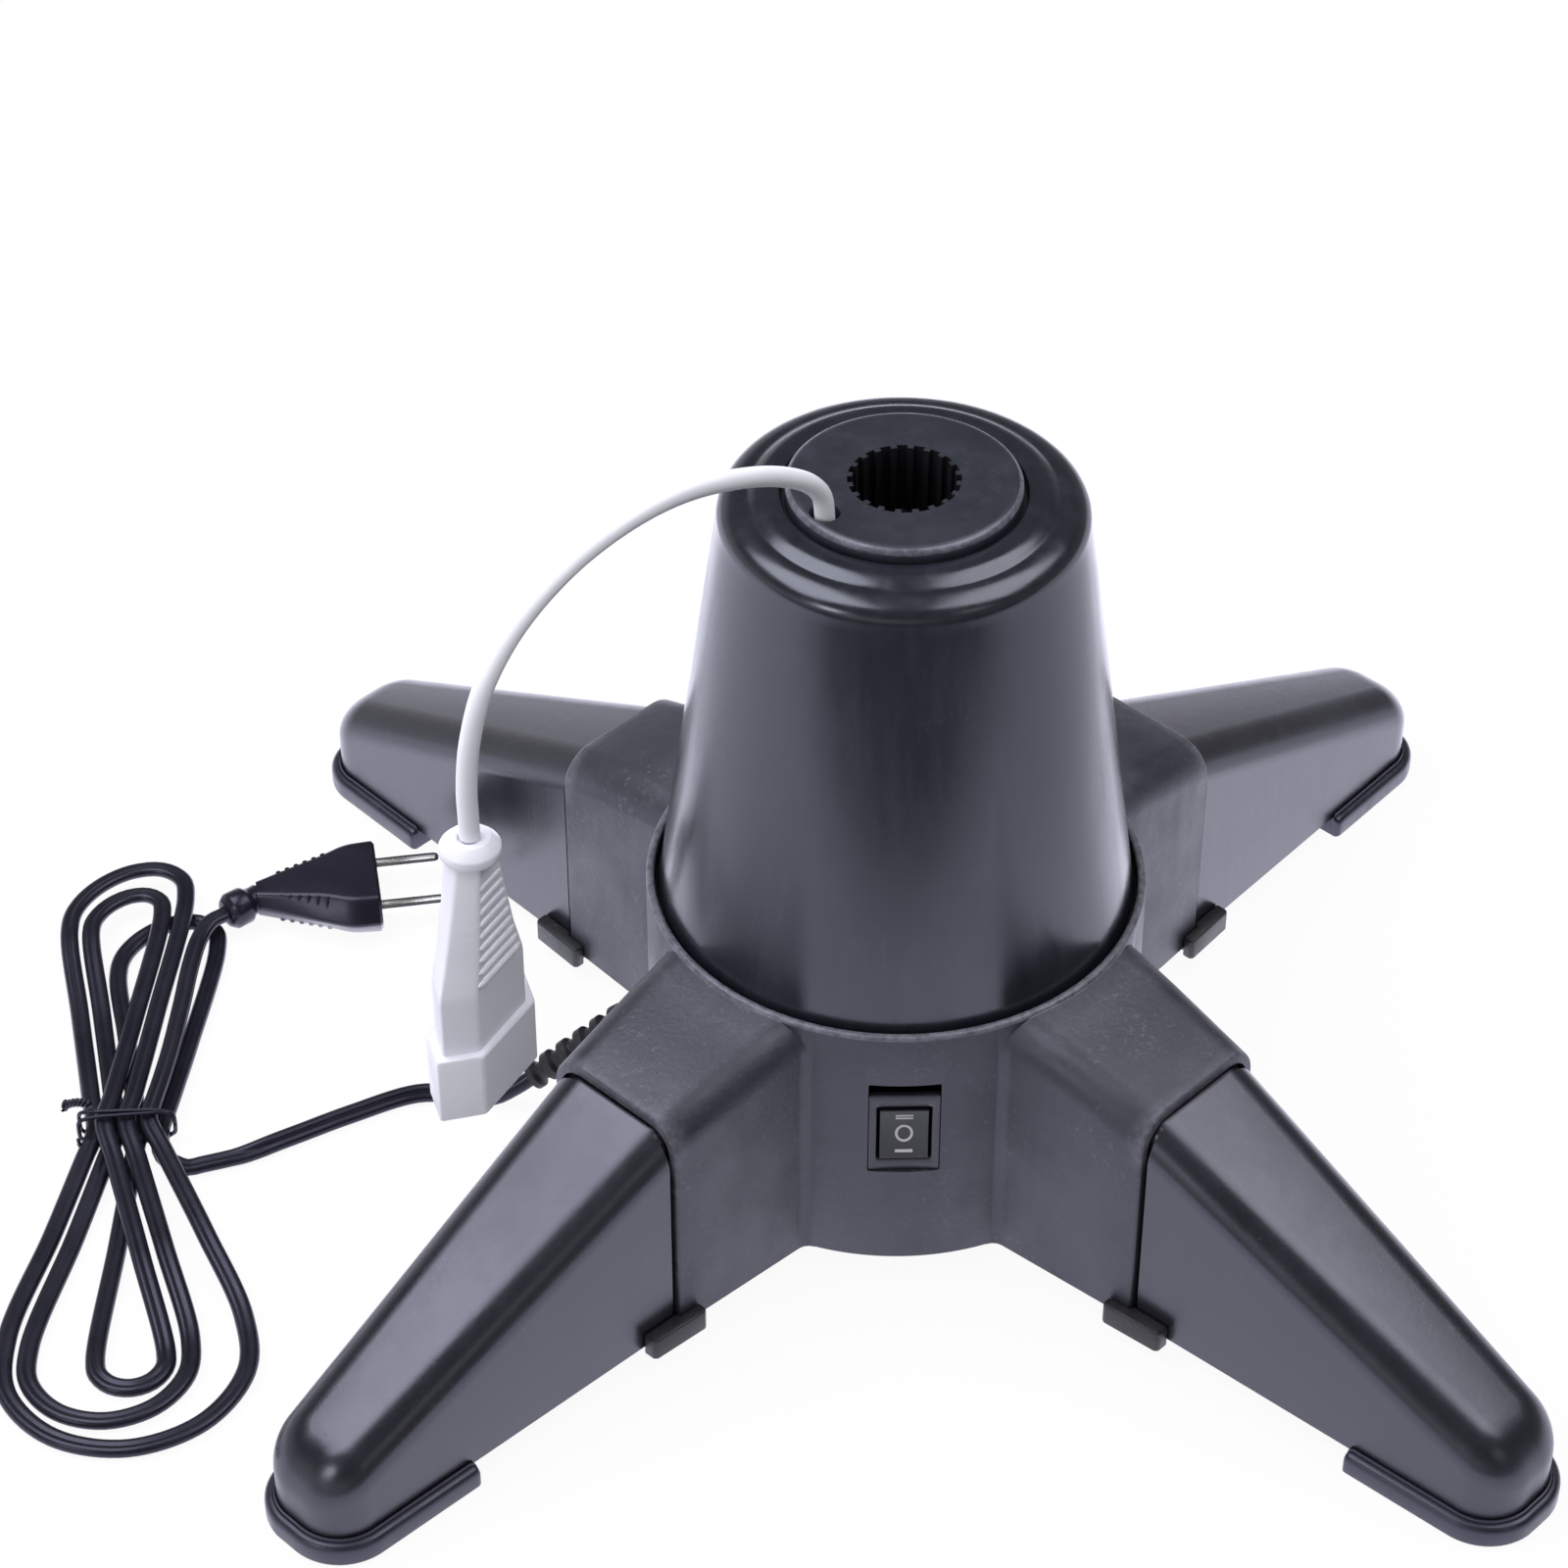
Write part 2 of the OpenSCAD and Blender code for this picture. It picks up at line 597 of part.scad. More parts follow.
module switch_frame() color(trim_col) difference() {
    union() {
        translate([-switch_w / 2, -recess_y - frame_t, switch_z - switch_h / 2])
            cube([switch_w, frame_t, switch_h]);
        translate([-switch_body_w / 2, -recess_y - eps, switch_z - switch_body_h / 2])
            cube([switch_body_w, 15, switch_body_h]);
    }
    translate([-rocker_w / 2 - 0.7, -recess_y - frame_t - 1, switch_z - rocker_h / 2 - 0.6])
        cube([rocker_w + 1.4, 12, rocker_h + 1.2]);
    // holes for the rocker's pivot
    translate([-rocker_w / 2 - 1.3, rocker_y, switch_z]) rotate([0, 90, 0])
        cylinder(r = pivot_r + 0.06, h = rocker_w + 2.6, $fn = 32);
}

// Rocker: two faces that meet in a shallow valley at the pivot, seen from the side
module switch_rocker() color(trim_col) {
    translate([rocker_w / 2, rocker_y, switch_z]) rotate([0, -90, 0]) linear_extrude(rocker_w)
        polygon([[-rocker_h / 2, -2.9], [0, -2.2], [rocker_h / 2, -2.9], [rocker_h / 2 - 0.2, -1.8],
            [4.2, 3.2], [1.2, 5], [-1.2, 5], [-4.2, 3.2], [-rocker_h / 2 + 0.2, -1.8]]);
    // pivot stubs
    translate([-rocker_w / 2 - 1.2, rocker_y, switch_z]) rotate([0, 90, 0])
        cylinder(r = pivot_r, h = rocker_w + 2.4, $fn = 32);
}

module switch_terminals() color(brass_col)
    for (z = [-6, 0, 6]) translate([-2.4, -recess_y + 15, switch_z + z - 0.4]) cube([4.8, 7.5, 0.8]);

// ---- leads inside the stand ----

module strain_relief() color(trim_col) {
    // flange on the wall with its shank through the hole
    difference() {
        translate([-drum_r + 2, relief_y, relief_z]) rotate([0, -90, 0]) cylinder(r = 6.6, h = 4.4, $fn = 32);
        cylinder(r = drum_r + 0.05, h = 100);
    }
    translate([-drum_r - 1, relief_y, relief_z]) rotate([0, 90, 0]) cylinder(r = relief_hole_r, h = 7, $fn = 32);
    skin([for (i = [0:len(relief_route) - 1], s = [0:1])
        tube_ring(relief_route[i] + heading(relief_route, i) * (s == 0 ? -0.75 : 0.75),
            heading(relief_route, i), [0, 1, 0],
            2 * relief_rib(i), 2 * relief_rib(i), 16)]);
}

// The relief leaves the wall level, turns down on a small arc and runs on straight
relief_n = 12;
relief_bend = 40;
relief_arc_r = 12;
relief_l = 38.4;
relief_x = -drum_r - 2;
relief_arc_l = relief_arc_r * relief_bend * PI / 180;
relief_dir = [-cos(relief_bend), 0, -sin(relief_bend)];
function relief_arc(a) =
    [relief_x - relief_arc_r * sin(a), relief_y, relief_z - relief_arc_r * (1 - cos(a))];
function relief_at(s) = s < relief_arc_l ? relief_arc(relief_bend * s / relief_arc_l)
    : relief_arc(relief_bend) + (s - relief_arc_l) * relief_dir;
relief_route = [for (i = [0:relief_n]) relief_at(relief_l * i / relief_n)];
function relief_rib(i) = i % 2 == 0 ? relief_r - 0.08 * i : relief_r - 1.4 - 0.08 * i;
relief_end = relief_at(relief_l) + 0.75 * relief_dir;

supply_route = [[-60.8, 1, 33], [-57.5, 0, 33.5], [-52, -6, 36], [-44, -18, 40], [-32, -30, 46], [-18, -38, 51], [-8, -41, 53], [-4, -42, 53]];
module supply_lead() color(trim_col) tube(supply_route, 4.2, 3, 8, [0, 0, 1]);

inner_route = [[-20.3, -13.7, 205], [-20.3, -13.7, 198], [-22, -15, 180], [-24, -16, 150], [-25, -16, 120],
    [-26.2, -15.1, 100], [-26.4, -15.2, 94], [-26.4, -15.2, 88.4]];
module inner_lead() color(white_col) tube(inner_route, outlet_d, outlet_d, 8, [1, 0, 0]);

// ---- outlet lead and socket, carried round by the cone ----

outlet_x = -108;
outlet_y = -88;
outlet_a = 59;
outlet_bottom = 96.5;
outlet_top = outlet_bottom + outlet_l;
outlet_route = [[-20.3, -13.7, 205], [-20.3, -13.7, 211], [-20.5, -14, 217], [-21.2, -14.5, 222.5],
    [-24.5, -17.5, 228.5], [-31, -23, 234.5], [-40.5, -31.5, 240.5], [-54.5, -43.5, 245.5],
    [-67.5, -55, 246.2], [-82, -67.5, 242], [-94.5, -78, 232.5], [-102.5, -84.5, 220],
    [-106.6, -87.2, 205], [-108, -88, 191], [-108, -88, outlet_top + 5.2], [-108, -88, outlet_top]];

module outlet_cord() color(white_col) tube(outlet_route, outlet_d, outlet_d, 10, [0.7, -0.71, 0]);

// Flattened hexagon with its long axis along X, grown by g on every side
function outlet_outline(w, t, flat) = [[w / 2, 0], [flat / 2, t / 2], [-flat / 2, t / 2], [-w / 2, 0],
    [-flat / 2, -t / 2], [flat / 2, -t / 2]];
function outlet_ring(z, w, t, flat) = [for (p = outlet_outline(w, t, flat)) [p[0], p[1], z]];

outlet_body_w = outlet_w - 6;
outlet_body_t = outlet_t - 3.6;
outlet_body_flat = outlet_flat - 2.6;
collar_h = 6;
outlet_collar_r = 7.7;

module outlet_socket() color(white_col)
    translate([outlet_x, outlet_y, outlet_bottom]) rotate(outlet_a) {
        difference() {
            translate([0, 0, 0]) linear_extrude(outlet_block_h)
                polygon(outlet_outline(outlet_w, outlet_t, outlet_flat));
            for (x = [-1, 1]) translate([x * pin_pitch / 2, 0, -1]) cylinder(r = 2.6, h = 18, $fn = 32);
        }
        skin([outlet_ring(outlet_block_h - eps, outlet_body_w, outlet_body_t, outlet_body_flat),
            outlet_ring(38, outlet_body_w, outlet_body_t, outlet_body_flat),
            outlet_ring(48, outlet_body_w - 6, outlet_body_t - 0.6, outlet_body_flat - 5),
            outlet_ring(62, 19, outlet_body_t - 2, 12),
            outlet_ring(outlet_l - collar_h + eps, 13, 10.4, 8.5)]);
        // grip ribs across the shoulders
        for (k = [0:5]) let (z = 41 + 3.4 * k, f = (outlet_body_flat - 0.65 * (3.4 * k + 3)) / 2)
            for (s = [-1, 1]) translate([-f, s * (outlet_body_t / 2 - 0.3 - 0.11 * k * 1.4) - 0.6, z])
                cube([2 * f, 1.2, 1.3]);
        translate([0, 0, outlet_l - collar_h]) rotate_extrude($fn = 48)
            polygon([[0, 0], [outlet_collar_r - 1.4, 0], [outlet_collar_r, 1.2], [outlet_collar_r, 3.4],
                [outlet_collar_r - 2.4, collar_h], [0, collar_h]]);
    }

module outlet_contacts() color(brass_col)
    translate([outlet_x, outlet_y, outlet_bottom]) rotate(outlet_a)
        for (x = [-1, 1]) translate([x * pin_pitch / 2, 0, 4]) difference() {
            cylinder(r = 2.55, h = 12.5, $fn = 32);
            translate([0, 0, -1]) cylinder(r = 2.15, h = 15, $fn = 32);
        }

// ---- legs, foot strips and clips ----

nose_u = leg_tip_u - nose_r;
nose_top_u = leg_tip_u - nose_top_r;
function plain_leg_w(u) = leg_w - leg_taper * (u - mouth_u);
nose_flat = plain_leg_w(nose_u) - nose_r;
function plain_leg_top(u) = leg_top - leg_slope * (u - mouth_u);

// Half width and top of a leg's skin at u, drawn in by inset, with the nose's roundings
function leg_half(u, inset) = u <= nose_u ? plain_leg_w(u) - inset
    : nose_flat + sqrt(max(0, pow(nose_r - inset, 2) - pow(u - nose_u, 2)));
function leg_crown(u, inset) = plain_leg_top(u) - (u <= nose_top_u ? inset
    : nose_top_r - sqrt(max(0, pow(nose_top_r - inset, 2) - pow(u - nose_top_u, 2))));
function leg_section(u, inset, bottom) =
    let (w = leg_half(u, inset), z = leg_crown(u, inset), r = min(leg_edge_r - inset, w - 0.4, z - bottom - 0.4))
    arch(u, w, bottom, z, r);
nose_steps = 6;
function leg_stations(inset) = concat([mouth_u + 0.2, (mouth_u + nose_u) / 2, nose_u],
    [for (i = [1:nose_steps]) nose_u + (nose_r - inset) * sin(90 * i / nose_steps)]);

module leg(a) color(body_col) rotate(a) difference() {
    union() {
        skin([for (u = leg_stations(0)) leg_section(u, 0, leg_bottom)]);
        skin([arm_section(tongue_u, hub_wall + tongue_gap, leg_bottom + 1.5),
            arm_section(mouth_u + 3, hub_wall + tongue_gap, leg_bottom + 1.5)]);
    }
    skin([for (u = leg_stations(leg_wall)) leg_section(u == leg_stations(leg_wall)[0] ? mouth_u + 3 : u,
        leg_wall, leg_bottom - 1)]);
    skin([arm_section(tongue_u - 1, hub_wall + leg_wall + tongue_gap, leg_bottom),
        arm_section(mouth_u + 3 + eps, hub_wall + leg_wall + tongue_gap, leg_bottom)]);
}

// Outline of the nose from above at a distance out from the leg's side
function nose_outline(out) = concat(
    [[foot_start_u, -plain_leg_w(foot_start_u) - out]],
    [for (i = [0:8]) let (a = -90 + 90 * i / 8)
        [nose_u + (nose_r + out) * cos(a), -nose_flat + (nose_r + out) * sin(a)]],
    [for (i = [0:8]) let (a = 90 * i / 8)
        [nose_u + (nose_r + out) * cos(a), nose_flat + (nose_r + out) * sin(a)]],
    [[foot_start_u, plain_leg_w(foot_start_u) + out]]);

module foot_layer(z0, z1, out, into) translate([0, 0, z0]) difference() {
    linear_extrude(z1 - z0) polygon(nose_outline(out));
    translate([0, 0, -1]) linear_extrude(z1 - z0 + 2) polygon(
        [for (p = nose_outline(-into)) p[0] == foot_start_u ? [p[0] - 1, p[1]] : p]);
}

module foot(a) color(trim_col) rotate(a) {
    foot_layer(0, 1, foot_ledge - 0.6, foot_under);
    foot_layer(1, leg_bottom, foot_ledge, foot_under);
    foot_layer(leg_bottom, foot_h - 0.7, foot_ledge, -0.1);
    foot_layer(foot_h - 0.7, foot_h, foot_ledge - 0.8, -0.1);
}

clip_end_u = clip_u + clip_l;
module clip(a) color(trim_col) rotate(a) for (s = [-1, 1]) {
    translate([0, 0, clip_z]) linear_extrude(clip_h) polygon([
        [clip_u, s * (arm_w(clip_u) + 0.1)], [clip_u, s * (arm_w(clip_u) + clip_t - 0.8)],
        [clip_u + 1, s * (arm_w(clip_u) + clip_t)], [clip_end_u - 1, s * (arm_w(clip_end_u) + clip_t)],
        [clip_end_u, s * (arm_w(clip_end_u) + clip_t - 0.8)], [clip_end_u, s * (plain_leg_w(clip_end_u) + 0.1)],
        [mouth_u + 0.3, s * (plain_leg_w(mouth_u) + 0.1)], [mouth_u + 0.3, s * (arm_w(mouth_u) + 0.1)]]);
    // bar under the joint
    if (s == 1) translate([clip_u + 2, -arm_w(clip_u) - clip_t / 2, clip_z])
        cube([clip_l - 4, 2 * arm_w(clip_u) + clip_t, leg_bottom - clip_z - 0.1]);
}

module leg_front_left() leg(FL);
module leg_front_right() leg(FR);
module leg_rear_left() leg(RL);
module leg_rear_right() leg(RR);
module foot_front_left() foot(FL);
module foot_front_right() foot(FR);
module foot_rear_left() foot(RL);
module foot_rear_right() foot(RR);
module clip_front_left() clip(FL);
module clip_front_right() clip(FR);
module clip_rear_left() clip(RL);
module clip_rear_right() clip(RR);

// ---- mains lead, hank and plug ----

hank_at = [-214.25, -11.6];
hank_turn = 3.5;
level_z = [lead_t / 2 + 0.02, 1.5 * lead_t + level_gap + 0.02];
waist_lift = 2;
slot_w = lead_w + run_gap;
hank_start_v = -0.5;
hank_lean = 0.36;

function smooth(f) = let (x = max(0, min(1, f))) x * x * (3 - 2 * x);

// Point of a run at x, v from the waist, on a level that may be between two; the upper
// loops lean over to the right
function hank_point(x, v, level) = [x, v + (v > 0 ? hank_lean * (x + 2.5) * smooth(v / 70) : 0),
    level_z[0] + (level_z[1] - level_z[0]) * level + waist_lift * exp(-pow(v / 16, 2))];

// One end of the hank: from the waist at x = s0, round an arc of radius r, back to x = s1.
// The level changes along the way back.
function hank_end(s0, s1, centre, r, reach, level0, level1) =
    let (c = [centre, reach > 0 ? reach - r : reach + r], p0 = [s0, 0], p1 = [s1, 0],
        d0 = p0 - c, d1 = p1 - c,
        a0 = atan2(d0[1], d0[0]) + acos(r / norm(d0)),
        a1 = atan2(d1[1], d1[0]) - acos(r / norm(d1)),
        sweep = a1 - a0 > 0 ? a1 - a0 : a1 - a0 + 360,
        q0 = c + r * [cos(a0), sin(a0)], q1 = c + r * [cos(a1), sin(a1)])
    concat(
        [for (f = [0, 0.12, 0.5]) let (q = p0 + f * (q0 - p0)) hank_point(q[0], q[1], level0)],
        [for (i = [0:6]) let (a = a0 + sweep * i / 6, q = c + r * [cos(a), sin(a)])
            hank_point(q[0], q[1], level0)],
        [for (f = [0.38, 0.82]) let (q = q1 + f * (p1 - q1))
            hank_point(q[0], q[1], level0 + (level1 - level0) * smooth(f / 0.38))]);

// The three loops: [upper centre, radius, reach, its level, lower centre, radius, reach]
hank_loops = [[9.2, 14.5, 84, 0, 3.5, 9.5, -95], [-2.9, 10.4, 97, 1, -2.3, 22, -106],
    [-2.7, 17, 108, 1, 2.2, 33, -116]];
up_slots = [1.5, -1, 0, 1];
down_slots = [0.5, -0.5, -1.5];

hank_local = concat(
    [hank_point(up_slots[0] * slot_w, hank_start_v, 0)],
    [for (k = [0:2]) let (g = hank_loops[k]) each concat(
        hank_end(up_slots[k] * slot_w, down_slots[k] * slot_w, g[0], g[1], g[2], g[3], 0),
        hank_end(down_slots[k] * slot_w, up_slots[k + 1] * slot_w, g[4], g[5], g[6], 0, 1))],
    [for (q = [[0, 0], [0.65, 4], [1.8, 10]]) hank_point(up_slots[3] * slot_w + q[0], q[1], 1)]);
function hank_place(p) = [
    hank_at[0] + p[0] * cos(hank_turn) - p[1] * sin(hank_turn),
    hank_at[1] + p[0] * sin(hank_turn) + p[1] * cos(hank_turn), p[2]];
hank_route = [for (p = hank_local) hank_place(p)];
hank_in = hank_route[0];
hank_in_dir = unit(hank_route[1] - hank_in);
hank_out = hank_route[len(hank_route) - 1];
hank_out_dir = unit(hank_out - hank_route[len(hank_route) - 2]);

module mains_hank() color(trim_col) tube(hank_route, lead_w, lead_t, 6, [0, 0, 1]);

// Least gap of the hank to itself, between flat runs: sampled along every run
samples = [for (i = [0:len(hank_route) - 2], f = [0:0.2:0.8])
    [i + f, hank_route[i] * (1 - f) + hank_route[i + 1] * f]];
function run_clear(a, b) = max(norm([a[0] - b[0], a[1] - b[1]]) - lead_w, abs(a[2] - b[2]) - lead_t);
least_gap = min([for (a = samples, b = samples) if (b[0] - a[0] > 3) run_clear(a[1], b[1])]);
echo(hank_least_gap = least_gap);

// The lead turns up into the hank on a small arc under the outermost run
lead_turn_r = 8;
lead_turn_at = [up_slots[0] * slot_w + lead_turn_r, hank_start_v - lead_w];
lead_turn_z = level_z[0] + 0.9;
lead_route = concat(
    [relief_end, relief_end + 5.4 * relief_dir],
    [[-112, 1.4, 2.4], [-121, 2.6, 1.75], [-134, 3, 1.75], [-152.5, -5, 1.75], [-168, -13.2, 1.75],
        [-180, -19.3, 1.75]],
    [for (a = [296, 268, 240, 210]) hank_place([lead_turn_at[0] + lead_turn_r * cos(a),
        lead_turn_at[1] + lead_turn_r * sin(a), a > 250 ? level_z[0] : lead_turn_z])],
    [hank_in - lead_w * hank_in_dir, hank_in]);
module mains_lead() color(trim_col) tube(lead_route, lead_w, lead_t, 8, [0, 0, 1]);

plug_at = [-149, 87.5];
plug_a = 8;
collar_a = 38;
plug_l = 36;
plug_w = 35.3;
plug_t = 13.7;
plug_collar_l = 11;
function plug_place(x, y, z) = [plug_at[0] + x * cos(plug_a) - y * sin(plug_a),
    plug_at[1] + x * sin(plug_a) + y * cos(plug_a), z];
plug_z = plug_t / 2;
collar_dir = [cos(collar_a), sin(collar_a), 0];
plug_tail = plug_place(-plug_l, 0, plug_z) - plug_collar_l * collar_dir;

tail_route = concat(
    [hank_out, hank_out + lead_w * hank_out_dir],
    [for (q = [[11.4, 30, 6.2], [14, 48, 6.1], [16.4, 66, 6.1], [18.6, 76.5, 6.2]]) hank_place(q)],
    [plug_tail - lead_w * collar_dir, plug_tail]);
module plug_lead() color(trim_col) tube(tail_route, lead_w, lead_t, 8, [0, 0, 1]);

tie_d = 1.2;
tie_turns = 2.5;
tie_pitch = 1.6;
tie_a = 1.5 * slot_w + lead_w / 2 + 0.9;
tie_top = waist_lift + level_z[1] + lead_t / 2 + 0.5 + tie_d;
function corner_pow(c) = sign(c) * pow(abs(c), 1 / 3);
// Wire tie: a flat helix round the waist with its ends twisted off to the left
tie_n = 20;
tie_wraps = [for (i = [0:tie_n * tie_turns]) let (a = 180 + 360 * i / tie_n)
    hank_place([(tie_a + tie_d / 2) * corner_pow(cos(a)),
        tie_pitch * (i / tie_n - tie_turns / 2),
        tie_top / 2 + (tie_top / 2 - tie_d / 2) * corner_pow(sin(a))])];
module twist_tie() color(trim_col) {
    tube(tie_wraps, tie_d, tie_d, 6, [0.35, 0.94, 0.02]);
}

function plug_ring(x, w, t, flat) = [for (p = outlet_outline(w, t, flat))
    plug_place(x, p[0], plug_z + p[1])];

module mains_plug() color(trim_col) {
    skin([plug_ring(-plug_l, 9.5, 8.5, 6), plug_ring(-plug_l + 8, 17, 10.4, 11),
        plug_ring(-plug_l + 20, 29, 13, 18), plug_ring(-plug_l + 27, plug_w, plug_t, 25),
        plug_ring(-0.8, plug_w, plug_t, 26), plug_ring(0, plug_w - 1.6, plug_t - 1.6, 25)]);
    translate(plug_tail) rotate(collar_a) rotate([0, 90, 0]) rotate_extrude($fn = 32)
        polygon([[0, 0], [4, 0], [5.6, 1.6], [5.6, plug_collar_l - 4], [4.2, plug_collar_l - 2.6],
            [4.2, plug_collar_l + 0.5], [0, plug_collar_l + 0.5]]);
}

module plug_pins() color(steel_col)
    for (s = [-1, 1]) translate(plug_place(0, s * pin_pitch / 2, plug_z)) rotate(plug_a) rotate([0, 90, 0]) {
        cylinder(r = 1.9, h = 10, $fn = 32);
        translate([0, 0, 10]) cylinder(r = 2, h = pin_l - 11, $fn = 32);
        translate([0, 0, pin_l - 1]) cylinder(r1 = 2, r2 = 1, h = 1, $fn = 32);
    }

hub_housing();
bottom_cover();
cover_screws();
motor_can();
motor_plate();
motor_screws();
drive_pinion();
bearing_bush();
race_lower();
race_upper();
bearing_cage();
bearing_balls();
rotor_cone();
rotor_cap();
pole_sleeve();
rotor_plate();
rotor_screws();
sleeve_screws();
drive_gear();
gear_screws();
slip_core();
slip_rings();
brush_holder();
brushes();
switch_frame();
switch_rocker();
switch_terminals();
strain_relief();
supply_lead();
inner_lead();
outlet_cord();
outlet_socket();
outlet_contacts();
leg_front_left();
leg_front_right();
leg_rear_left();
leg_rear_right();
foot_front_left();
foot_front_right();
foot_rear_left();
foot_rear_right();
clip_front_left();
clip_front_right();
clip_rear_left();
clip_rear_right();
mains_lead();
mains_hank();
plug_lead();
twist_tie();
mains_plug();
plug_pins();
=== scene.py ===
from math import acos, atan2, ceil, cos, exp, hypot, pi, radians, sin

import bmesh
import bpy
import numpy as np
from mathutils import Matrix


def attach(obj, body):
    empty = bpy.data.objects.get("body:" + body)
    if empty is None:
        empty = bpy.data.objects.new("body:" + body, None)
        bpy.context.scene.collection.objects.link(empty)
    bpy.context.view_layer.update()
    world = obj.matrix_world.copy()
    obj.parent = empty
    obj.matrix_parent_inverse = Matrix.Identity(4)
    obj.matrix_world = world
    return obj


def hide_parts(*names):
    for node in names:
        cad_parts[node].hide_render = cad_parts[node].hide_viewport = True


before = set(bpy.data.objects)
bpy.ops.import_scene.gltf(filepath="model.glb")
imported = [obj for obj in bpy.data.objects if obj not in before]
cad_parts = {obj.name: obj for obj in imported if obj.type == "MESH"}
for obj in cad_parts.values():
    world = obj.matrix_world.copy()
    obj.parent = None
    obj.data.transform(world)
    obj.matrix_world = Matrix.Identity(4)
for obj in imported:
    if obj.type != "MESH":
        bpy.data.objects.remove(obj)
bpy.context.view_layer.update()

# ---- The view ----
# The stand is seen from above its front edge, with the switch towards the eye.
# A long lens keeps the four legs nearly true to each other.


def put(name, data):
    """A new object in the scene."""
    obj = bpy.data.objects.new(name, data)
    bpy.context.scene.collection.objects.link(obj)
    return obj


lens = bpy.data.cameras.new("view")
lens.lens, lens.sensor_width, lens.clip_end = 99.47, 36, 20
eye = put("view", lens)
eye.location = (-0.04864, -0.88282, 0.85677)
eye.rotation_euler = (radians(90 - 39.94), 0, -0.0208)
bpy.context.scene.camera = eye
bpy.context.scene.view_settings.view_transform = "Standard"


# ---- Mains lead ----
# Flat two-core lead in black PVC, 1.58 m long. It leaves the strain relief, runs over the
# floor to a hank of three loops held at the waist by a wire tie, and ends in the plug.
MM = 0.001
lead_w, lead_t = 5.4, 3.4


def node(tree, kind, sockets=None, **settings):
    """Adds a shader node, sets its settings, and fills or links its sockets."""
    n = tree.nodes.new("ShaderNode" + kind)
    for key, value in settings.items():
        setattr(n, key, value)
    for key, value in (sockets or {}).items():
        if isinstance(value, bpy.types.NodeSocket):
            tree.links.new(value, n.inputs[key])
        else:
            n.inputs[key].default_value = value
    return n


def remap(tree, value, low, high, to_low=0, to_high=1, curve="LINEAR"):
    """Turns the range from low to high into the one from to_low to to_high, and clips outside it."""
    sockets = {"Value": value, "From Min": low, "From Max": high, "To Min": to_low, "To Max": to_high}
    return node(tree, "MapRange", sockets, interpolation_type=curve).outputs["Result"]


def maths(tree, how, *values):
    """Values added, multiplied and so on, as how says."""
    return node(tree, "Math", dict(enumerate(values)), operation=how).outputs[0]


def mixed(tree, share, a, b):
    """Colour between a and b."""
    return node(tree, "Mix", {0: share, 6: a, 7: b}, data_type="RGBA").outputs[2]


def noise(tree, place, scale, detail, rough=0.5):
    sockets = {"Vector": place, "Scale": scale, "Detail": detail, "Roughness": rough}
    return node(tree, "TexNoise", sockets).outputs["Fac"]


def tint(colour, by):
    return (*[min(1, c * by) for c in colour], 1)


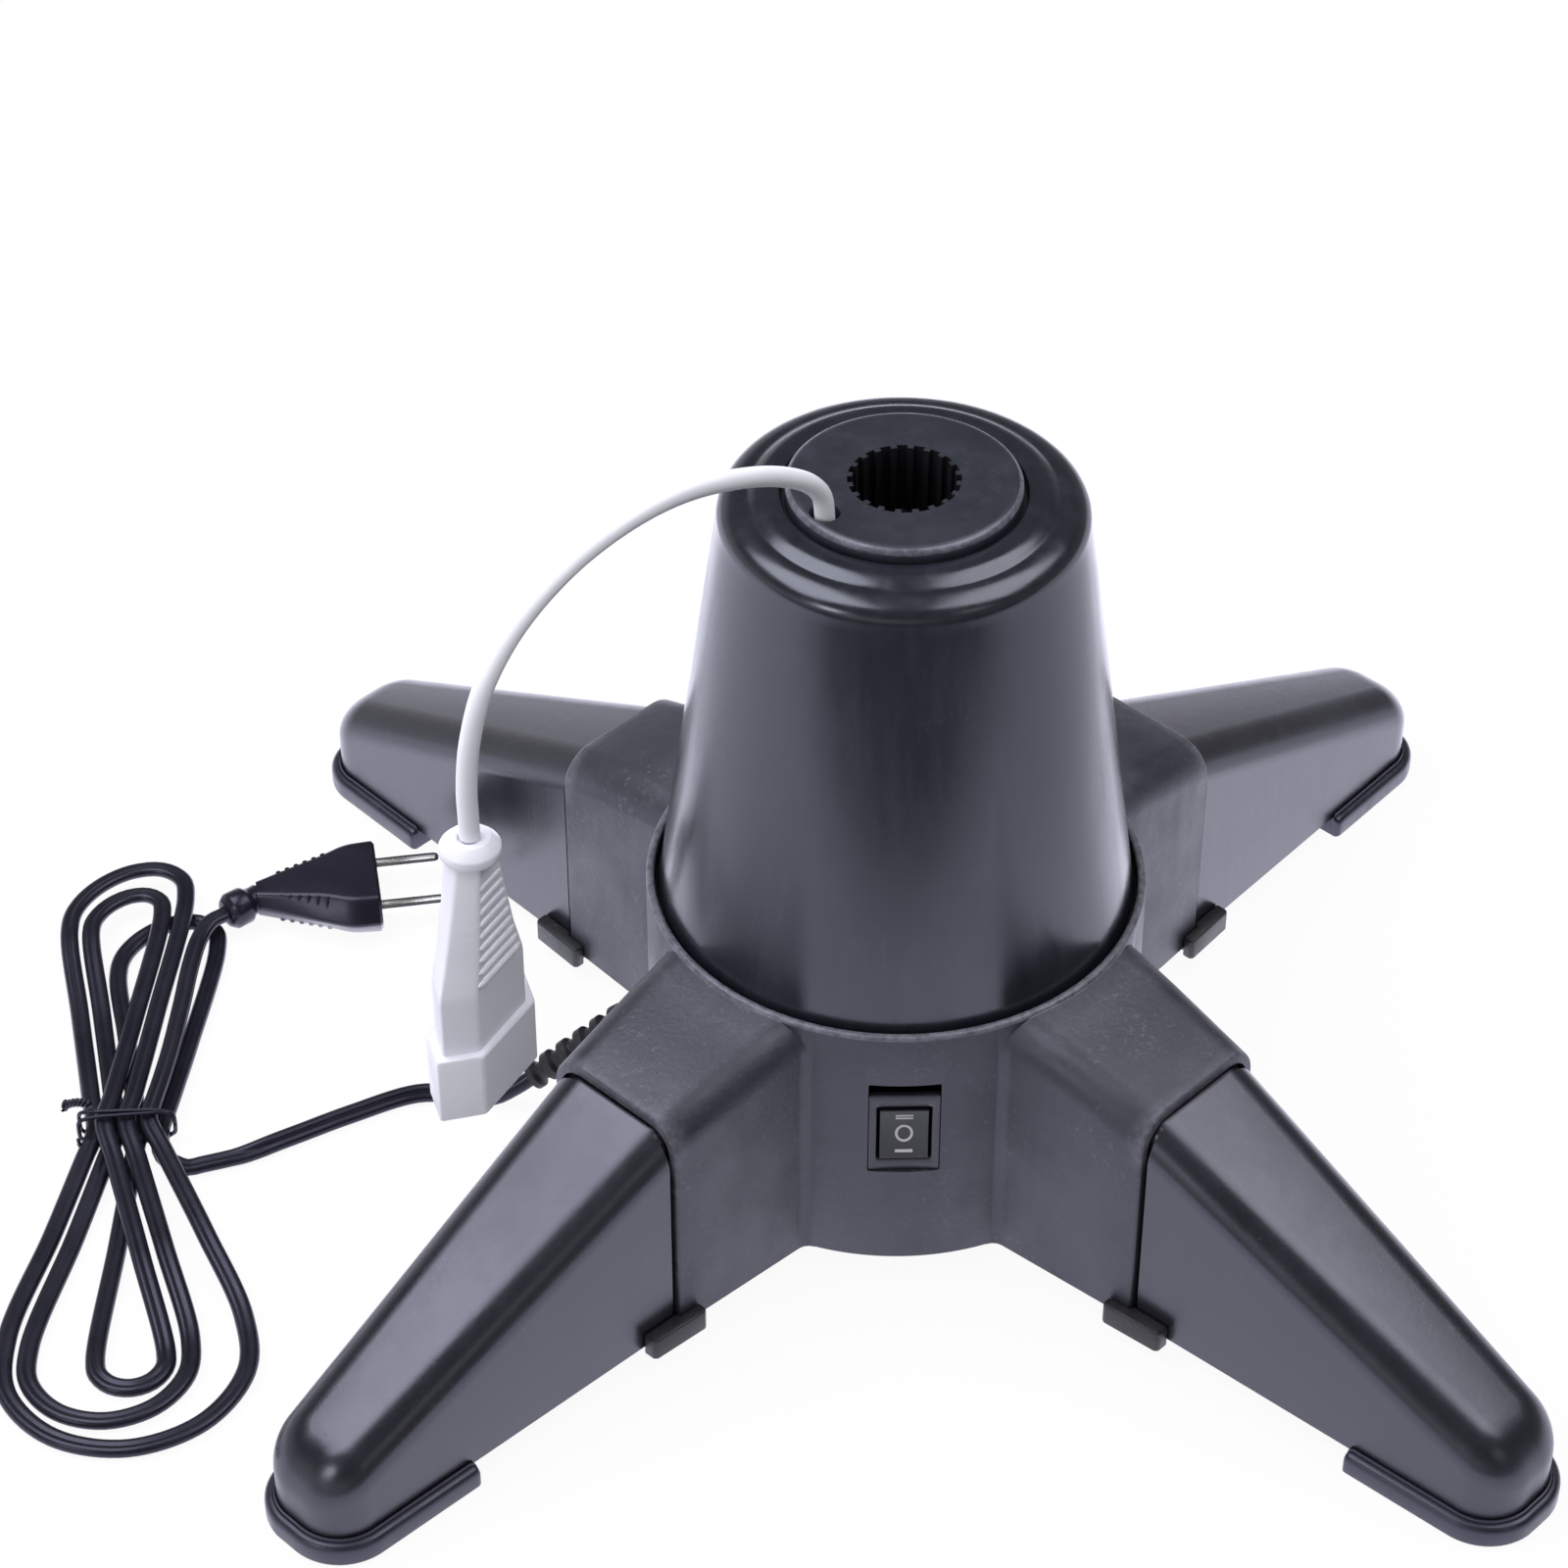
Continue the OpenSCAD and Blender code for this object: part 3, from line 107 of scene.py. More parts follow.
def finish(name, colour, rough, patch=35, shift=0.12, rough_shift=0.06, grain=1400, depth=0.02,
           specks=0.0, streaks=0.0, metallic=0.0, specular=0.5, glaze=(1, 1, 1), brushed=(1, 1, 1),
           ripple=0.0, ripple_scale=210, highlit_and_worn_rims=()):
    """Material with cloudy tone and gloss, a fine moulded grain and a slower ripple (depths in mm),
    flecks in clusters, rub marks, and lightened rim bands, some painted highlights and some wear, each
    given as its radii and heights, its soft edge and its strength."""
    mat = bpy.data.materials.new(name)
    mat.use_nodes = True
    tree = mat.node_tree
    shader = tree.nodes["Principled BSDF"]
    shader.inputs["Metallic"].default_value = metallic
    shader.inputs["Specular IOR Level"].default_value = specular
    shader.inputs["Specular Tint"].default_value = (*glaze, 1)
    place = node(tree, "TexCoord").outputs["Object"]
    cloud = noise(tree, place, patch, 4, 0.6)
    tone = mixed(tree, cloud, tint(colour, 1 - shift), tint(colour, 1 + shift))
    gloss = remap(tree, cloud, 0.3, 0.7, rough - rough_shift, rough + rough_shift)
    if specks:
        dust_grey = (0.17, 0.17, 0.20, 1)
        dust = remap(tree, noise(tree, place, 620, 2, 0.7), 0.57, 0.70, 0, specks)
        drift = remap(tree, noise(tree, place, 38, 3), 0.45, 0.68)
        tone = mixed(tree, maths(tree, "MULTIPLY", dust, drift), tone, dust_grey)
    if streaks:
        drawn = node(tree, "Mapping", {"Vector": place, "Rotation": (0.05, 0.08, 0.4), "Scale": (9, 9, 0.8)})
        rub = noise(tree, drawn.outputs["Vector"], 16, 6, 0.65)
        mark = remap(tree, rub, 0.42, 0.72, 0, streaks)
        tone = mixed(tree, mark, tone, tint(colour, 2.0))
        gloss = maths(tree, "ADD", gloss, maths(tree, "MULTIPLY", mark, 0.22))
    # rim bands lightened in broken patches: painted highlights on rounded edges, and wear
    for r0, r1, z0, z1, fade, amount in highlit_and_worn_rims:
        highlight_and_wear_grey = (0.20, 0.20, 0.24, 1)
        x, y, z = node(tree, "SeparateXYZ", {0: place}).outputs
        flat = node(tree, "CombineXYZ", {0: x, 1: y}).outputs[0]
        radius = node(tree, "VectorMath", {0: flat}, operation="LENGTH").outputs["Value"]
        rim = 1.0
        for value, low, high in ((radius, r0, r0 + fade), (radius, r1, r1 - fade),
                                 (z, z0, z0 + fade), (z, z1, z1 - fade)):
            rim = maths(tree, "MULTIPLY", rim, remap(tree, value, low * MM, high * MM))
        patchy = remap(tree, noise(tree, place, 400, 4, 0.7), 0.35, 0.6, 0.3 * amount, amount)
        tone = mixed(tree, maths(tree, "MULTIPLY", rim, patchy), tone, highlight_and_wear_grey)
    stretch = node(tree, "Mapping", {"Vector": place, "Scale": brushed}).outputs["Vector"]
    sockets = {"Height": noise(tree, stretch, grain, 2), "Distance": depth * MM, "Strength": 1.0}
    bump = node(tree, "Bump", sockets).outputs["Normal"]
    if ripple:
        slow = noise(tree, place, ripple_scale, 3, 0.7)
        sockets = {"Height": slow, "Distance": ripple * MM, "Strength": 1.0, "Normal": bump}
        bump = node(tree, "Bump", sockets).outputs["Normal"]
    tree.links.new(tone, shader.inputs["Base Color"])
    tree.links.new(gloss, shader.inputs["Roughness"])
    tree.links.new(bump, shader.inputs["Normal"])
    return mat


def piece(name, points, faces, mat, slot, body, crease=32):
    """Makes an object from points in mm, shades it smooth up to its creases, and fixes it to a body."""
    mesh = bpy.data.meshes.new(name)
    mesh.from_pydata([tuple(c * MM for c in p) for p in points], [], faces)
    bm = bmesh.new()
    bm.from_mesh(mesh)
    bmesh.ops.recalc_face_normals(bm, faces=bm.faces)
    bm.to_mesh(mesh)
    bm.free()
    obj = put(name, mesh)
    dress(obj, mat, body, crease)
    return obj


def dress(obj, mat, body, crease=32):
    """Gives an object its one finish, its creases and its body."""
    obj.data.materials.clear()
    obj.data.materials.append(mat)
    obj.data.shade_smooth()
    obj.data.set_sharp_from_angle(angle=radians(crease))
    if body:
        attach(obj, body)


def loft(rings, shut=True):
    """Points and faces of a skin over rings that have the same number of points."""
    n = len(rings[0])
    points = [p for ring in rings for p in ring]
    faces = [(k * n + i, k * n + (i + 1) % n, (k + 1) * n + (i + 1) % n, (k + 1) * n + i)
             for k in range(len(rings) - 1) for i in range(n)]
    if shut:
        last = (len(rings) - 1) * n
        faces += [tuple(range(n - 1, -1, -1)), tuple(range(last, last + n))]
    return points, faces


def eased(points, step):
    """Smooth line through the points, about a step apart."""
    p = np.array(points, float)
    p = np.vstack([2 * p[0] - p[1], p, 2 * p[-1] - p[-2]])
    out = []
    for i in range(1, len(p) - 2):
        a, b, c, d = p[i - 1:i + 3]
        t = np.cumsum([0] + [max(np.linalg.norm(q) ** 0.5, 1e-6) for q in (b - a, c - b, d - c)])
        for s in np.linspace(t[1], t[2], max(2, ceil(np.linalg.norm(c - b) / step)), endpoint=False):
            q = [a, b, c, d]
            for spans in (((0, 1), (1, 2), (2, 3)), ((0, 2), (1, 3)), ((1, 2),)):
                q = [q[j] + (q[j + 1] - q[j]) * (s - t[u]) / (t[v] - t[u]) for j, (u, v) in enumerate(spans)]
            out.append(q[0])
    return np.array(out + [p[-2]])


def unit(v):
    """A vector, or each row of vectors, at a length of 1."""
    return v / np.linalg.norm(v, axis=-1, keepdims=True)


def sweep(line, outline, up=(0, 0, 1)):
    """Rings of an outline carried along a line; the outline is (across, along) pairs or one set a point."""
    line = np.array(line, float)
    ahead = unit(np.gradient(line, axis=0))
    across = unit(np.cross(ahead, np.array(up, float)))
    along = np.cross(ahead, across)
    outline = np.array(outline, float)
    rings = []
    for i in range(len(line)):
        o = outline if outline.ndim == 2 else outline[i]
        rings.append([tuple(line[i] + across[i] * q[0] + along[i] * q[1]) for q in o])
    return rings


# the strain relief's line: out of the wall, an arc down, then straight, and a short lip
relief_root, relief_bend, relief_arc, relief_length = (-69.6, 1, 33), radians(40), 12, 38.4
relief_lip = 0.75


def relief_at(s):
    turn = min(s / relief_arc, relief_bend)
    rest = max(0, s - relief_arc * relief_bend)
    return np.array([relief_root[0] - relief_arc * sin(turn) - rest * cos(turn), relief_root[1],
                     relief_root[2] - relief_arc * (1 - cos(turn)) - rest * sin(turn)])


relief_way = np.array([-cos(relief_bend), 0, -sin(relief_bend)])
relief_end = relief_at(relief_length) + relief_lip * relief_way


def placer(x0, y0, z0, turn):
    """Function that turns a point about the vertical and moves it to its place."""
    c, s = cos(turn), sin(turn)
    return lambda x, y, z: (x0 + x * c - y * s, y0 + x * s + y * c, z0 + z)


hank_place = placer(-214.25, -11.6, 0, radians(3.5))
slot_w, layer_gap, floor_gap = lead_w + 0.7, 0.85, 0.02
levels = (lead_t / 2 + floor_gap, 1.5 * lead_t + layer_gap + floor_gap)
waist_lift, waist_reach = 2.0, 16
# the loops fan out from the waist towards the plug's end
fan, fan_reach = 0.36, 70


def soft_step(f):
    """Eases from 0 to 1."""
    f = max(0, min(1, f))
    return f * f * (3 - 2 * f)


def hank_point(x, v, level):
    """Point x across the hank and v along it from its waist, in the lower or upper layer."""
    lean = fan * (x + 2.5) * soft_step(v / fan_reach) if v > 0 else 0
    lift = waist_lift * exp(-(v / waist_reach) ** 2)
    return [x, v + lean, levels[0] + (levels[1] - levels[0]) * level + lift]


def hank_end(s0, s1, cx, r, reach, level0, level1):
    """From the waist round one end of the hank and back."""
    cy = reach - r if reach > 0 else reach + r
    a0 = atan2(-cy, s0 - cx) + acos(r / hypot(s0 - cx, cy))
    a1 = atan2(-cy, s1 - cx) - acos(r / hypot(s1 - cx, cy))
    turn = a1 - a0 if a1 > a0 else a1 - a0 + 2 * pi
    x0, y0, x1, y1 = cx + r * cos(a0), cy + r * sin(a0), cx + r * cos(a1), cy + r * sin(a1)
    out = [hank_point(s0 + f * (x0 - s0), f * y0, level0) for f in (0, 0.12, 0.5)]
    out += [hank_point(cx + r * cos(a0 + turn * i / 6), cy + r * sin(a0 + turn * i / 6), level0)
            for i in range(7)]
    for f in (0.38, 0.82):
        level = level0 + (level1 - level0) * soft_step(f / 0.38)
        out.append(hank_point(x1 + f * (s1 - x1), y1 * (1 - f), level))
    return out


# each loop: its far end's centre, radius and reach, the layer it starts in, and its near end's
loops = [(9.2, 14.5, 84, 0, 3.5, 9.5, -95), (-2.9, 10.4, 97, 1, -2.3, 22, -106),
         (-2.7, 17, 108, 1, 2.2, 33, -116)]
up_slots, down_slots = (1.5, -1, 0, 1), (0.5, -0.5, -1.5)
hank = [hank_point(up_slots[0] * slot_w, -0.5, 0)]
for k, (far_x, far_r, far, level, near_x, near_r, near) in enumerate(loops):
    hank += hank_end(up_slots[k] * slot_w, down_slots[k] * slot_w, far_x, far_r, far, level, 0)
    hank += hank_end(down_slots[k] * slot_w, up_slots[k + 1] * slot_w, near_x, near_r, near, 0, 1)
hank += [hank_point(up_slots[3] * slot_w + x, v, 1) for x, v in ((0, 0), (0.65, 4), (1.8, 10))]
hank = np.array([hank_place(*p) for p in hank])
in_way, out_way = unit(hank[1] - hank[0]), unit(hank[-1] - hank[-2])

plug_turn, plug_l, plug_w, plug_t, collar_l, collar_turn = radians(8), 36, 35.3, 13.7, 11, radians(38)
plug_z = plug_t / 2
plug_place = placer(-149, 87.5, 0, plug_turn)
collar_way = np.array([cos(collar_turn), sin(collar_turn), 0])
plug_tail = np.array(plug_place(-plug_l, 0, plug_z)) - collar_l * collar_way

bend_at, bend_r = (up_slots[0] * slot_w + 8, -0.5 - lead_w), 8
route = [relief_end, relief_end + 5.4 * relief_way, [-112, 1.4, 2.4], [-121, 2.6, 1.75], [-134, 3, 1.75],
         [-152.5, -5, 1.75], [-168, -13.2, 1.75], [-180, -19.3, 1.75]]
route += [hank_place(bend_at[0] + bend_r * cos(radians(a)), bend_at[1] + bend_r * sin(radians(a)),
                     levels[0] if a > 250 else levels[0] + 0.9) for a in (296, 268, 240, 210)]
route += [hank[0] - lead_w * in_way] + list(hank) + [hank[-1] + lead_w * out_way]
route += [hank_place(*q) for q in ((11.4, 30, 6.2), (14, 48, 6.1), (16.4, 66, 6.1), (18.6, 76.5, 6.2))]
route += [plug_tail - lead_w * collar_way, plug_tail]
lead_line = eased(route, 2.4)

# two round cores side by side leave a shallow groove down the middle
core_r, core_open = 1.58, 2.3
core_x = lead_w / 2 - core_r
lobe = [(core_x + core_r * cos(a), core_r * sin(a)) for a in np.linspace(-core_open, core_open, 11)]
lead_outline = lobe + [(-x, -y) for x, y in lobe]
black_pvc = finish("black_pvc", (0.008, 0.008, 0.014), 0.32, patch=60, shift=0.3, rough_shift=0.07,
                   grain=900, streaks=0.2, glaze=(0.80, 0.78, 1))
# the lead rolls a little all along, and stands half on its edge between the relief and the hank
edge_tilt, edge_points, edge_from, edge_to = 0.8, 60, -108, -186
lead_rings = []
for i, (x, y, z) in enumerate(lead_line):
    tilt = 0
    if i < edge_points and -25 < y < 8:
        tilt = edge_tilt * soft_step((edge_from - x) / 12) * soft_step((x - edge_to) / 14)
    roll = 0.10 * sin(i * 0.021) + 0.05 * sin(i * 0.057 + 1) + tilt
    lift = max(0, core_x * abs(sin(tilt)) - 0.12)
    lead_rings.append([(a * cos(roll) + b * sin(roll), b * cos(roll) - a * sin(roll) - lift)
                       for a, b in lead_outline])
mains = piece("mains_cord", *loft(sweep(lead_line, lead_rings)), black_pvc, "black_lead", "base", 50)
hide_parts("mains_lead", "mains_hank", "plug_lead")

# ---- Wire tie ----
# Plastic-coated wire, wound two and a half times round the waist of the hank, with its
# two ends twisted together beside the loops.
tie_d, tie_turns, tie_pitch, tie_steps = 1.2, 2.5, 1.6, 40
tie_a = 1.5 * slot_w + lead_w / 2 + 0.9
tie_top = waist_lift + levels[1] + lead_t / 2 + 0.5 + tie_d


def circle(n):
    """The angles of n points round a circle."""
    return np.linspace(0, 2 * pi, n, endpoint=False)


def add_to(points, faces, more):
    """Adds the points and faces of another form to these."""
    faces += [tuple(v + len(points) for v in f) for f in more[1]]
    points += more[0]


def corner(c):
    """Pulls the sides of a turn out towards a rectangle's."""
    return (1 if c >= 0 else -1) * abs(c) ** 0.42


tie_ring = [(tie_d / 2 * cos(t), tie_d / 2 * sin(t)) for t in circle(8)]
wrap = []
for i in range(int(tie_steps * tie_turns) + 1):
    a = pi + 2 * pi * i / tie_steps
    skew = 2.4 * cos(a) * (1 - 2 * i / (tie_steps * tie_turns))
    wrap.append(hank_place((tie_a + tie_d / 2) * corner(cos(a)),
                           tie_pitch * (i / tie_steps - tie_turns / 2) + skew,
                           tie_top / 2 + (tie_top / 2 - tie_d / 2) * corner(sin(a))))
tie_points, tie_faces = loft(sweep(wrap, tie_ring, up=(0.35, 0.94, 0.02)))
# the two ends, twisted together, which part again at the share twist_split of their length
twist_turns, twist_r, twist_split = 3.5, 0.75, 0.82
for strand in (0, 1):
    twist = []
    for f in np.linspace(0, 1, 40):
        a = 2 * pi * twist_turns * f + pi * strand
        reach = twist_r + 5 * max(0, f - twist_split)
        twist.append(hank_place(-9.5 - 8.5 * f, 2.2 + 5.5 * f + reach * cos(a),
                                tie_top + 0.9 - 5.2 * f * f + reach * sin(a)))
    add_to(tie_points, tie_faces, loft(sweep(twist, tie_ring, up=(0.2, 0.3, 0.93))))
tie = piece("wire_tie", tie_points, tie_faces, black_pvc, "black_lead", "base", 60)
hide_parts("twist_tie")

# ---- Mains plug ----
# Flat two-pin plug moulded on the lead in black PVC: a six-sided body with grip ridges on
# its shoulders, a thick collar at the lead, and nickel-plated brass pins.
black_plug = finish("black_plug", (0.010, 0.009, 0.017), 0.30, patch=50, shift=0.2, grain=1600, depth=0.015,
                    streaks=0.15, glaze=(0.84, 0.80, 1))


def rounded(corners, r, steps=3):
    """Outline with its corners rounded off."""
    out = []
    n = len(corners)
    for i in range(n):
        a, b, c = (np.array(corners[(i + k) % n], float) for k in (-1, 0, 1))
        u, v = a - b, c - b
        lu, lv = np.linalg.norm(u), np.linalg.norm(v)
        cut = min(r, 0.45 * lu, 0.45 * lv)
        s, e = b + u / lu * cut, b + v / lv * cut
        for f in np.linspace(0, 1, steps + 1):
            out.append(tuple((1 - f) ** 2 * s + 2 * f * (1 - f) * b + f * f * e))
    return out


def six_sided(w, t, flat, r):
    """Outline of a flat body, w by t, whose broad sides are flat wide and whose edges are pointed."""
    return rounded([(w / 2, 0), (flat / 2, t / 2), (-flat / 2, t / 2),
                    (-w / 2, 0), (-flat / 2, -t / 2), (flat / 2, -t / 2)], r)


def between(stations, k):
    """Values at k between the rows of a table whose first column rises."""
    ks, *columns = zip(*stations)
    return [float(np.interp(k, ks, column)) for column in columns]


def flow(stations, step, blur):
    """The same table read at even steps, its corners eased over a short length."""
    first, last = stations[0][0], stations[-1][0]
    ks = np.linspace(first, last, max(2, int((last - first) / step) + 1))
    rows = []
    for k in ks:
        near = [between(stations, min(max(k + d, ks[0]), ks[-1])) for d in np.linspace(-blur, blur, 7)]
        edge = min(1, (k - ks[0]) / blur, (ks[-1] - k) / blur)
        mean = np.mean(near, axis=0) * edge + np.array(between(stations, k)) * (1 - edge)
        rows.append([k, *mean])
    return rows


# the body at x from its front: width, thickness, and the width of its flat faces
plug_body = flow([(-plug_l, 9.5, 8.5, 6), (-28, 17, 10.4, 11), (-16, 29, 13, 18), (-9, plug_w, plug_t, 25),
                  (-0.8, plug_w, plug_t, 26)], 1.0, 2.5)
plug_rings = [[plug_place(x, p[0], plug_z + p[1]) for p in six_sided(w, t, flat, 1.1)]
              for x, w, t, flat in [*plug_body, (0, 33.7, 12.1, 25)]]
plug_points, plug_faces = loft(plug_rings)


def bar(a, b, side, out, r_side, r_out):
    """Rounded ridge from a to b, r_side wide each way and r_out high, sunk a little in its face."""
    a, b, side, out = (np.array(v, float) for v in (a, b, side, out))
    rings = []
    for f, k in ((0, 0.25), (0.04, 0.75), (0.12, 1), (0.88, 1), (0.96, 0.75), (1, 0.25)):
        ring = []
        for t in circle(10):
            high = r_out * k * sin(t) if sin(t) > 0 else r_out * 0.8 * sin(t)
            ring.append(tuple(a + (b - a) * f + side * r_side * k * cos(t) + out * high))
        rings.append(ring)
    return loft(rings)


plug_way = (cos(plug_turn), sin(plug_turn), 0)
grips_back, grips_front, grip_pitch = -29, -15, 2.7
for x in np.arange(grips_back, grips_front, grip_pitch):
    w, t, flat = between(plug_body, x)
    face = unit(np.array([t / 2, (w - flat) / 2]))
    for sy in (-1, 1):
        for sz in (-1, 1):
            inner = plug_place(x, sy * (flat / 2 + 0.2), plug_z + sz * (t / 2 - 0.05))
            outer = plug_place(x, sy * (w / 2 - 2.6), plug_z + sz * 2.1)
            out_way = (-plug_way[1] * face[0] * sy, plug_way[0] * face[0] * sy, sz * face[1])
            add_to(plug_points, plug_faces, bar(inner, outer, plug_way, out_way, 0.8, 0.38))


def collar_ring(s, r):
    c = plug_tail + collar_way * s
    side = np.array([-collar_way[1], collar_way[0], 0])
    return [tuple(c + side * r * cos(t) + np.array([0, 0, 1]) * r * sin(t)) for t in circle(32)]


add_to(plug_points, plug_faces, loft([collar_ring(s, r) for s, r in (
    (0, 2.6), (0, 3.8), (0.2, 4.3), (1.5, 5.3), (1.9, 5.6), (6.2, 5.6), (6.8, 5.4), (7.8, 4.5), (8.6, 4.2),
    (11.5, 4.2), (12.5, 3.2))]))
plug = piece("plug_body", plug_points, plug_faces, black_plug, "trim", "base", 38)
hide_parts("mains_plug")

nickel = finish("nickel", (0.72, 0.71, 0.69), 0.22, patch=80, shift=0.05, grain=1800, depth=0.004,
                metallic=1.0)
pin_x = 9.5
pin_profile = ((-0.5, 2), (0, 2), (10, 2), (10.2, 1.96), (17.6, 1.96), (18.4, 1.7), (18.8, 1.3), (19, 0.8))


def gathered(forms):
    """Points and faces of several forms as one."""
    points, faces = [], []
    for form in forms:
        add_to(points, faces, form)
    return points, faces


pins = piece("plug_pin_pair", *gathered(
    loft([[plug_place(x, s * pin_x + r * cos(t), plug_z + r * sin(t)) for t in circle(24)]
          for x, r in pin_profile]) for s in (-1, 1)), nickel, "steel", "base")
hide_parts("plug_pins")

# ---- Outlet lead ----
# Round white PVC lead, 5.2 mm thick. It comes up out of the hole in the cap, arches over
# the shoulder of the cone and hangs down into the outlet, which turns with the cone.
outlet_d = 5.2
outlet_x, outlet_y, outlet_z, outlet_l, outlet_turn = -108, -88, 96.5, 79.5, radians(59)
outlet_top = outlet_z + outlet_l
outlet_route = [[-20.3, -13.7, 205], [-20.3, -13.7, 211], [-20.5, -14, 217], [-21.2, -14.5, 222.5],
                [-24.5, -17.5, 228.5], [-31, -23, 234.5], [-40.5, -31.5, 240.5], [-54.5, -43.5, 245.5],
                [-67.5, -55, 246.2], [-82, -67.5, 242], [-94.5, -78, 232.5], [-102.5, -84.5, 220],
                [-106.6, -87.2, 205], [outlet_x, outlet_y, 191], [outlet_x, outlet_y, outlet_top + 5.2],
                [outlet_x, outlet_y, outlet_top]]
outlet_line = eased(outlet_route, 2)
round_lead = [(outlet_d / 2 * cos(t), outlet_d / 2 * sin(t)) for t in circle(18)]
white_pvc = finish("white_pvc", (0.87, 0.87, 0.92), 0.38, patch=45, shift=0.025, rough_shift=0.05,
                   grain=700, depth=0.012)
outlet_lead = piece("outlet_lead", *loft(sweep(outlet_line, round_lead, up=(0.7, -0.71, 0))),
                    white_pvc, "white_lead", "rotor", 50)
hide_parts("outlet_cord")

# ---- Outlet ----
# Two-hole outlet in white plastic for the plug of a string of lights: a six-sided block,
# a body that narrows to a collar, and ridges for the grip on its broad sides.
white_shell = finish("white_shell", (0.80, 0.80, 0.87), 0.30, patch=30, shift=0.02, rough_shift=0.05,
                     grain=1500, depth=0.008)
outlet_place = placer(outlet_x, outlet_y, outlet_z, outlet_turn)


def outlet_ring(x, r, z, n):
    return [outlet_place(x + r * cos(t), r * sin(t), z) for t in circle(n)]


def outlet_skin(rows, r):
    return loft([[outlet_place(p[0], p[1], z) for p in six_sided(w, t, flat, r)] for z, w, t, flat in rows])


outlet_body = flow([(19.9, 34, 13.4, 21.4), (38, 34, 13.4, 21.4), (48, 27.4, 12.4, 16.4), (62, 19, 11.2, 12),
                    (74, 13, 10.4, 8.5)], 0.9, 1.0)
out_points, out_faces = outlet_skin(outlet_body, 0.9)
ridge_count, ridge_low, ridge_pitch = 9, 40.6, 3.4
for k in range(ridge_count):
    z = ridge_low + ridge_pitch * k
    w, t, flat = between(outlet_body, z)
    for s in (-1, 1):
        left, right = (outlet_place(e * (flat / 2 - 0.6), s * (t / 2 - 0.05), z) for e in (-1, 1))
        out_way = (-sin(outlet_turn) * s, cos(outlet_turn) * s, 0)
        add_to(out_points, out_faces, bar(left, right, (0, 0, 1), out_way, 1.0, 0.95 - 0.05 * k))
add_to(out_points, out_faces, loft([outlet_ring(0, r, z, 48) for r, z in (
    (4, 73), (6.1, 73.5), (6.6, 73.6), (7.5, 74.4), (7.7, 74.9), (7.7, 76.7), (7.45, 77.2), (5.6, 79.1),
    (5.1, 79.5), (3.4, 79.5), (2.9, 79.2), (2.7, 78.6))]))
outlet = piece("outlet_shell", out_points, out_faces, white_shell, "white_socket", "rotor", 30)


def solid(name, points, faces):
    """A loose mesh, used for building others."""
    return piece(name, points, faces, white_shell, None, None)


def worked(obj, cutter, how):
    """Joins or cuts an object, or bevels it by a width, and keeps the result in its mesh."""
    if how == "BEVEL":
        mod = obj.modifiers.new("edge", "BEVEL")
        mod.width, mod.segments, mod.limit_method, mod.angle_limit = cutter * MM, 3, "ANGLE", radians(40)
    else:
        mod = obj.modifiers.new("cut", "BOOLEAN")
        mod.operation, mod.solver, mod.object = how, "EXACT", cutter
    bpy.context.view_layer.update()
    mesh = bpy.data.meshes.new_from_object(obj.evaluated_get(bpy.context.evaluated_depsgraph_get()))
    obj.modifiers.clear()
    obj.data = mesh
    if how != "BEVEL":
        bpy.data.objects.remove(cutter)


def cut_out(obj, form):
    worked(obj, solid("cutter", *form), "DIFFERENCE")


block = solid("outlet_block", *outlet_skin(
    ((0, 39, 16, 23.6), (0.5, 40, 17, 24), (19.4, 40, 17, 24), (20, 39.2, 16.2, 23.8)), 0.8))
for s in (-1, 1):
    cut_out(block, loft([outlet_ring(s * pin_x, r, z, 32) for z, r in ((-1, 4.0), (0.4, 2.6), (17, 2.6))]))
dress(block, white_shell, "rotor", 30)
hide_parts("outlet_socket")
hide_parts("outlet_socket")
brass = finish("brass", (0.72, 0.52, 0.22), 0.28, patch=70, shift=0.08, grain=1500, depth=0.006, metallic=1.0)


def refinish(name, mat):
    """Gives a CAD node a material and leaves its shape."""
    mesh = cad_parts[name].data
    mesh.materials.clear()
    mesh.materials.append(mat)


refinish("outlet_contacts", brass)

# ---- Leads inside the stand ----
# The outlet lead runs on down inside the cone to the rotary contact, and the mains lead
# runs on from the wall of the drum to the switch.
inner_route = [[-20.3, -13.7, 205], [-20.3, -13.7, 198], [-22, -15, 180], [-24, -16, 150], [-25, -16, 120],
               [-26.2, -15.1, 100], [-26.4, -15.2, 94], [-26.4, -15.2, 88.4]]
inner_line = eased(inner_route, 3)
inner = piece("inner_outlet_lead", *loft(sweep(inner_line, round_lead, up=(1, 0, 0))),
              white_pvc, "white_lead", "rotor", 50)
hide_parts("inner_lead")
supply_route = [[-60.8, 1, 33], [-57.5, 0, 33.5], [-52, -6, 36], [-44, -18, 40], [-32, -30, 46],
                [-18, -38, 51], [-8, -41, 53], [-4, -42, 53]]
supply_line = eased(supply_route, 2)
supply_w, supply_t = 4.2, 3
supply_outline = np.array(lead_outline) * [supply_w / lead_w, supply_t / lead_t]
supply = piece("inner_mains_lead", *loft(sweep(supply_line, supply_outline)),
               black_pvc, "black_lead", "base", 50)
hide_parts("supply_lead")

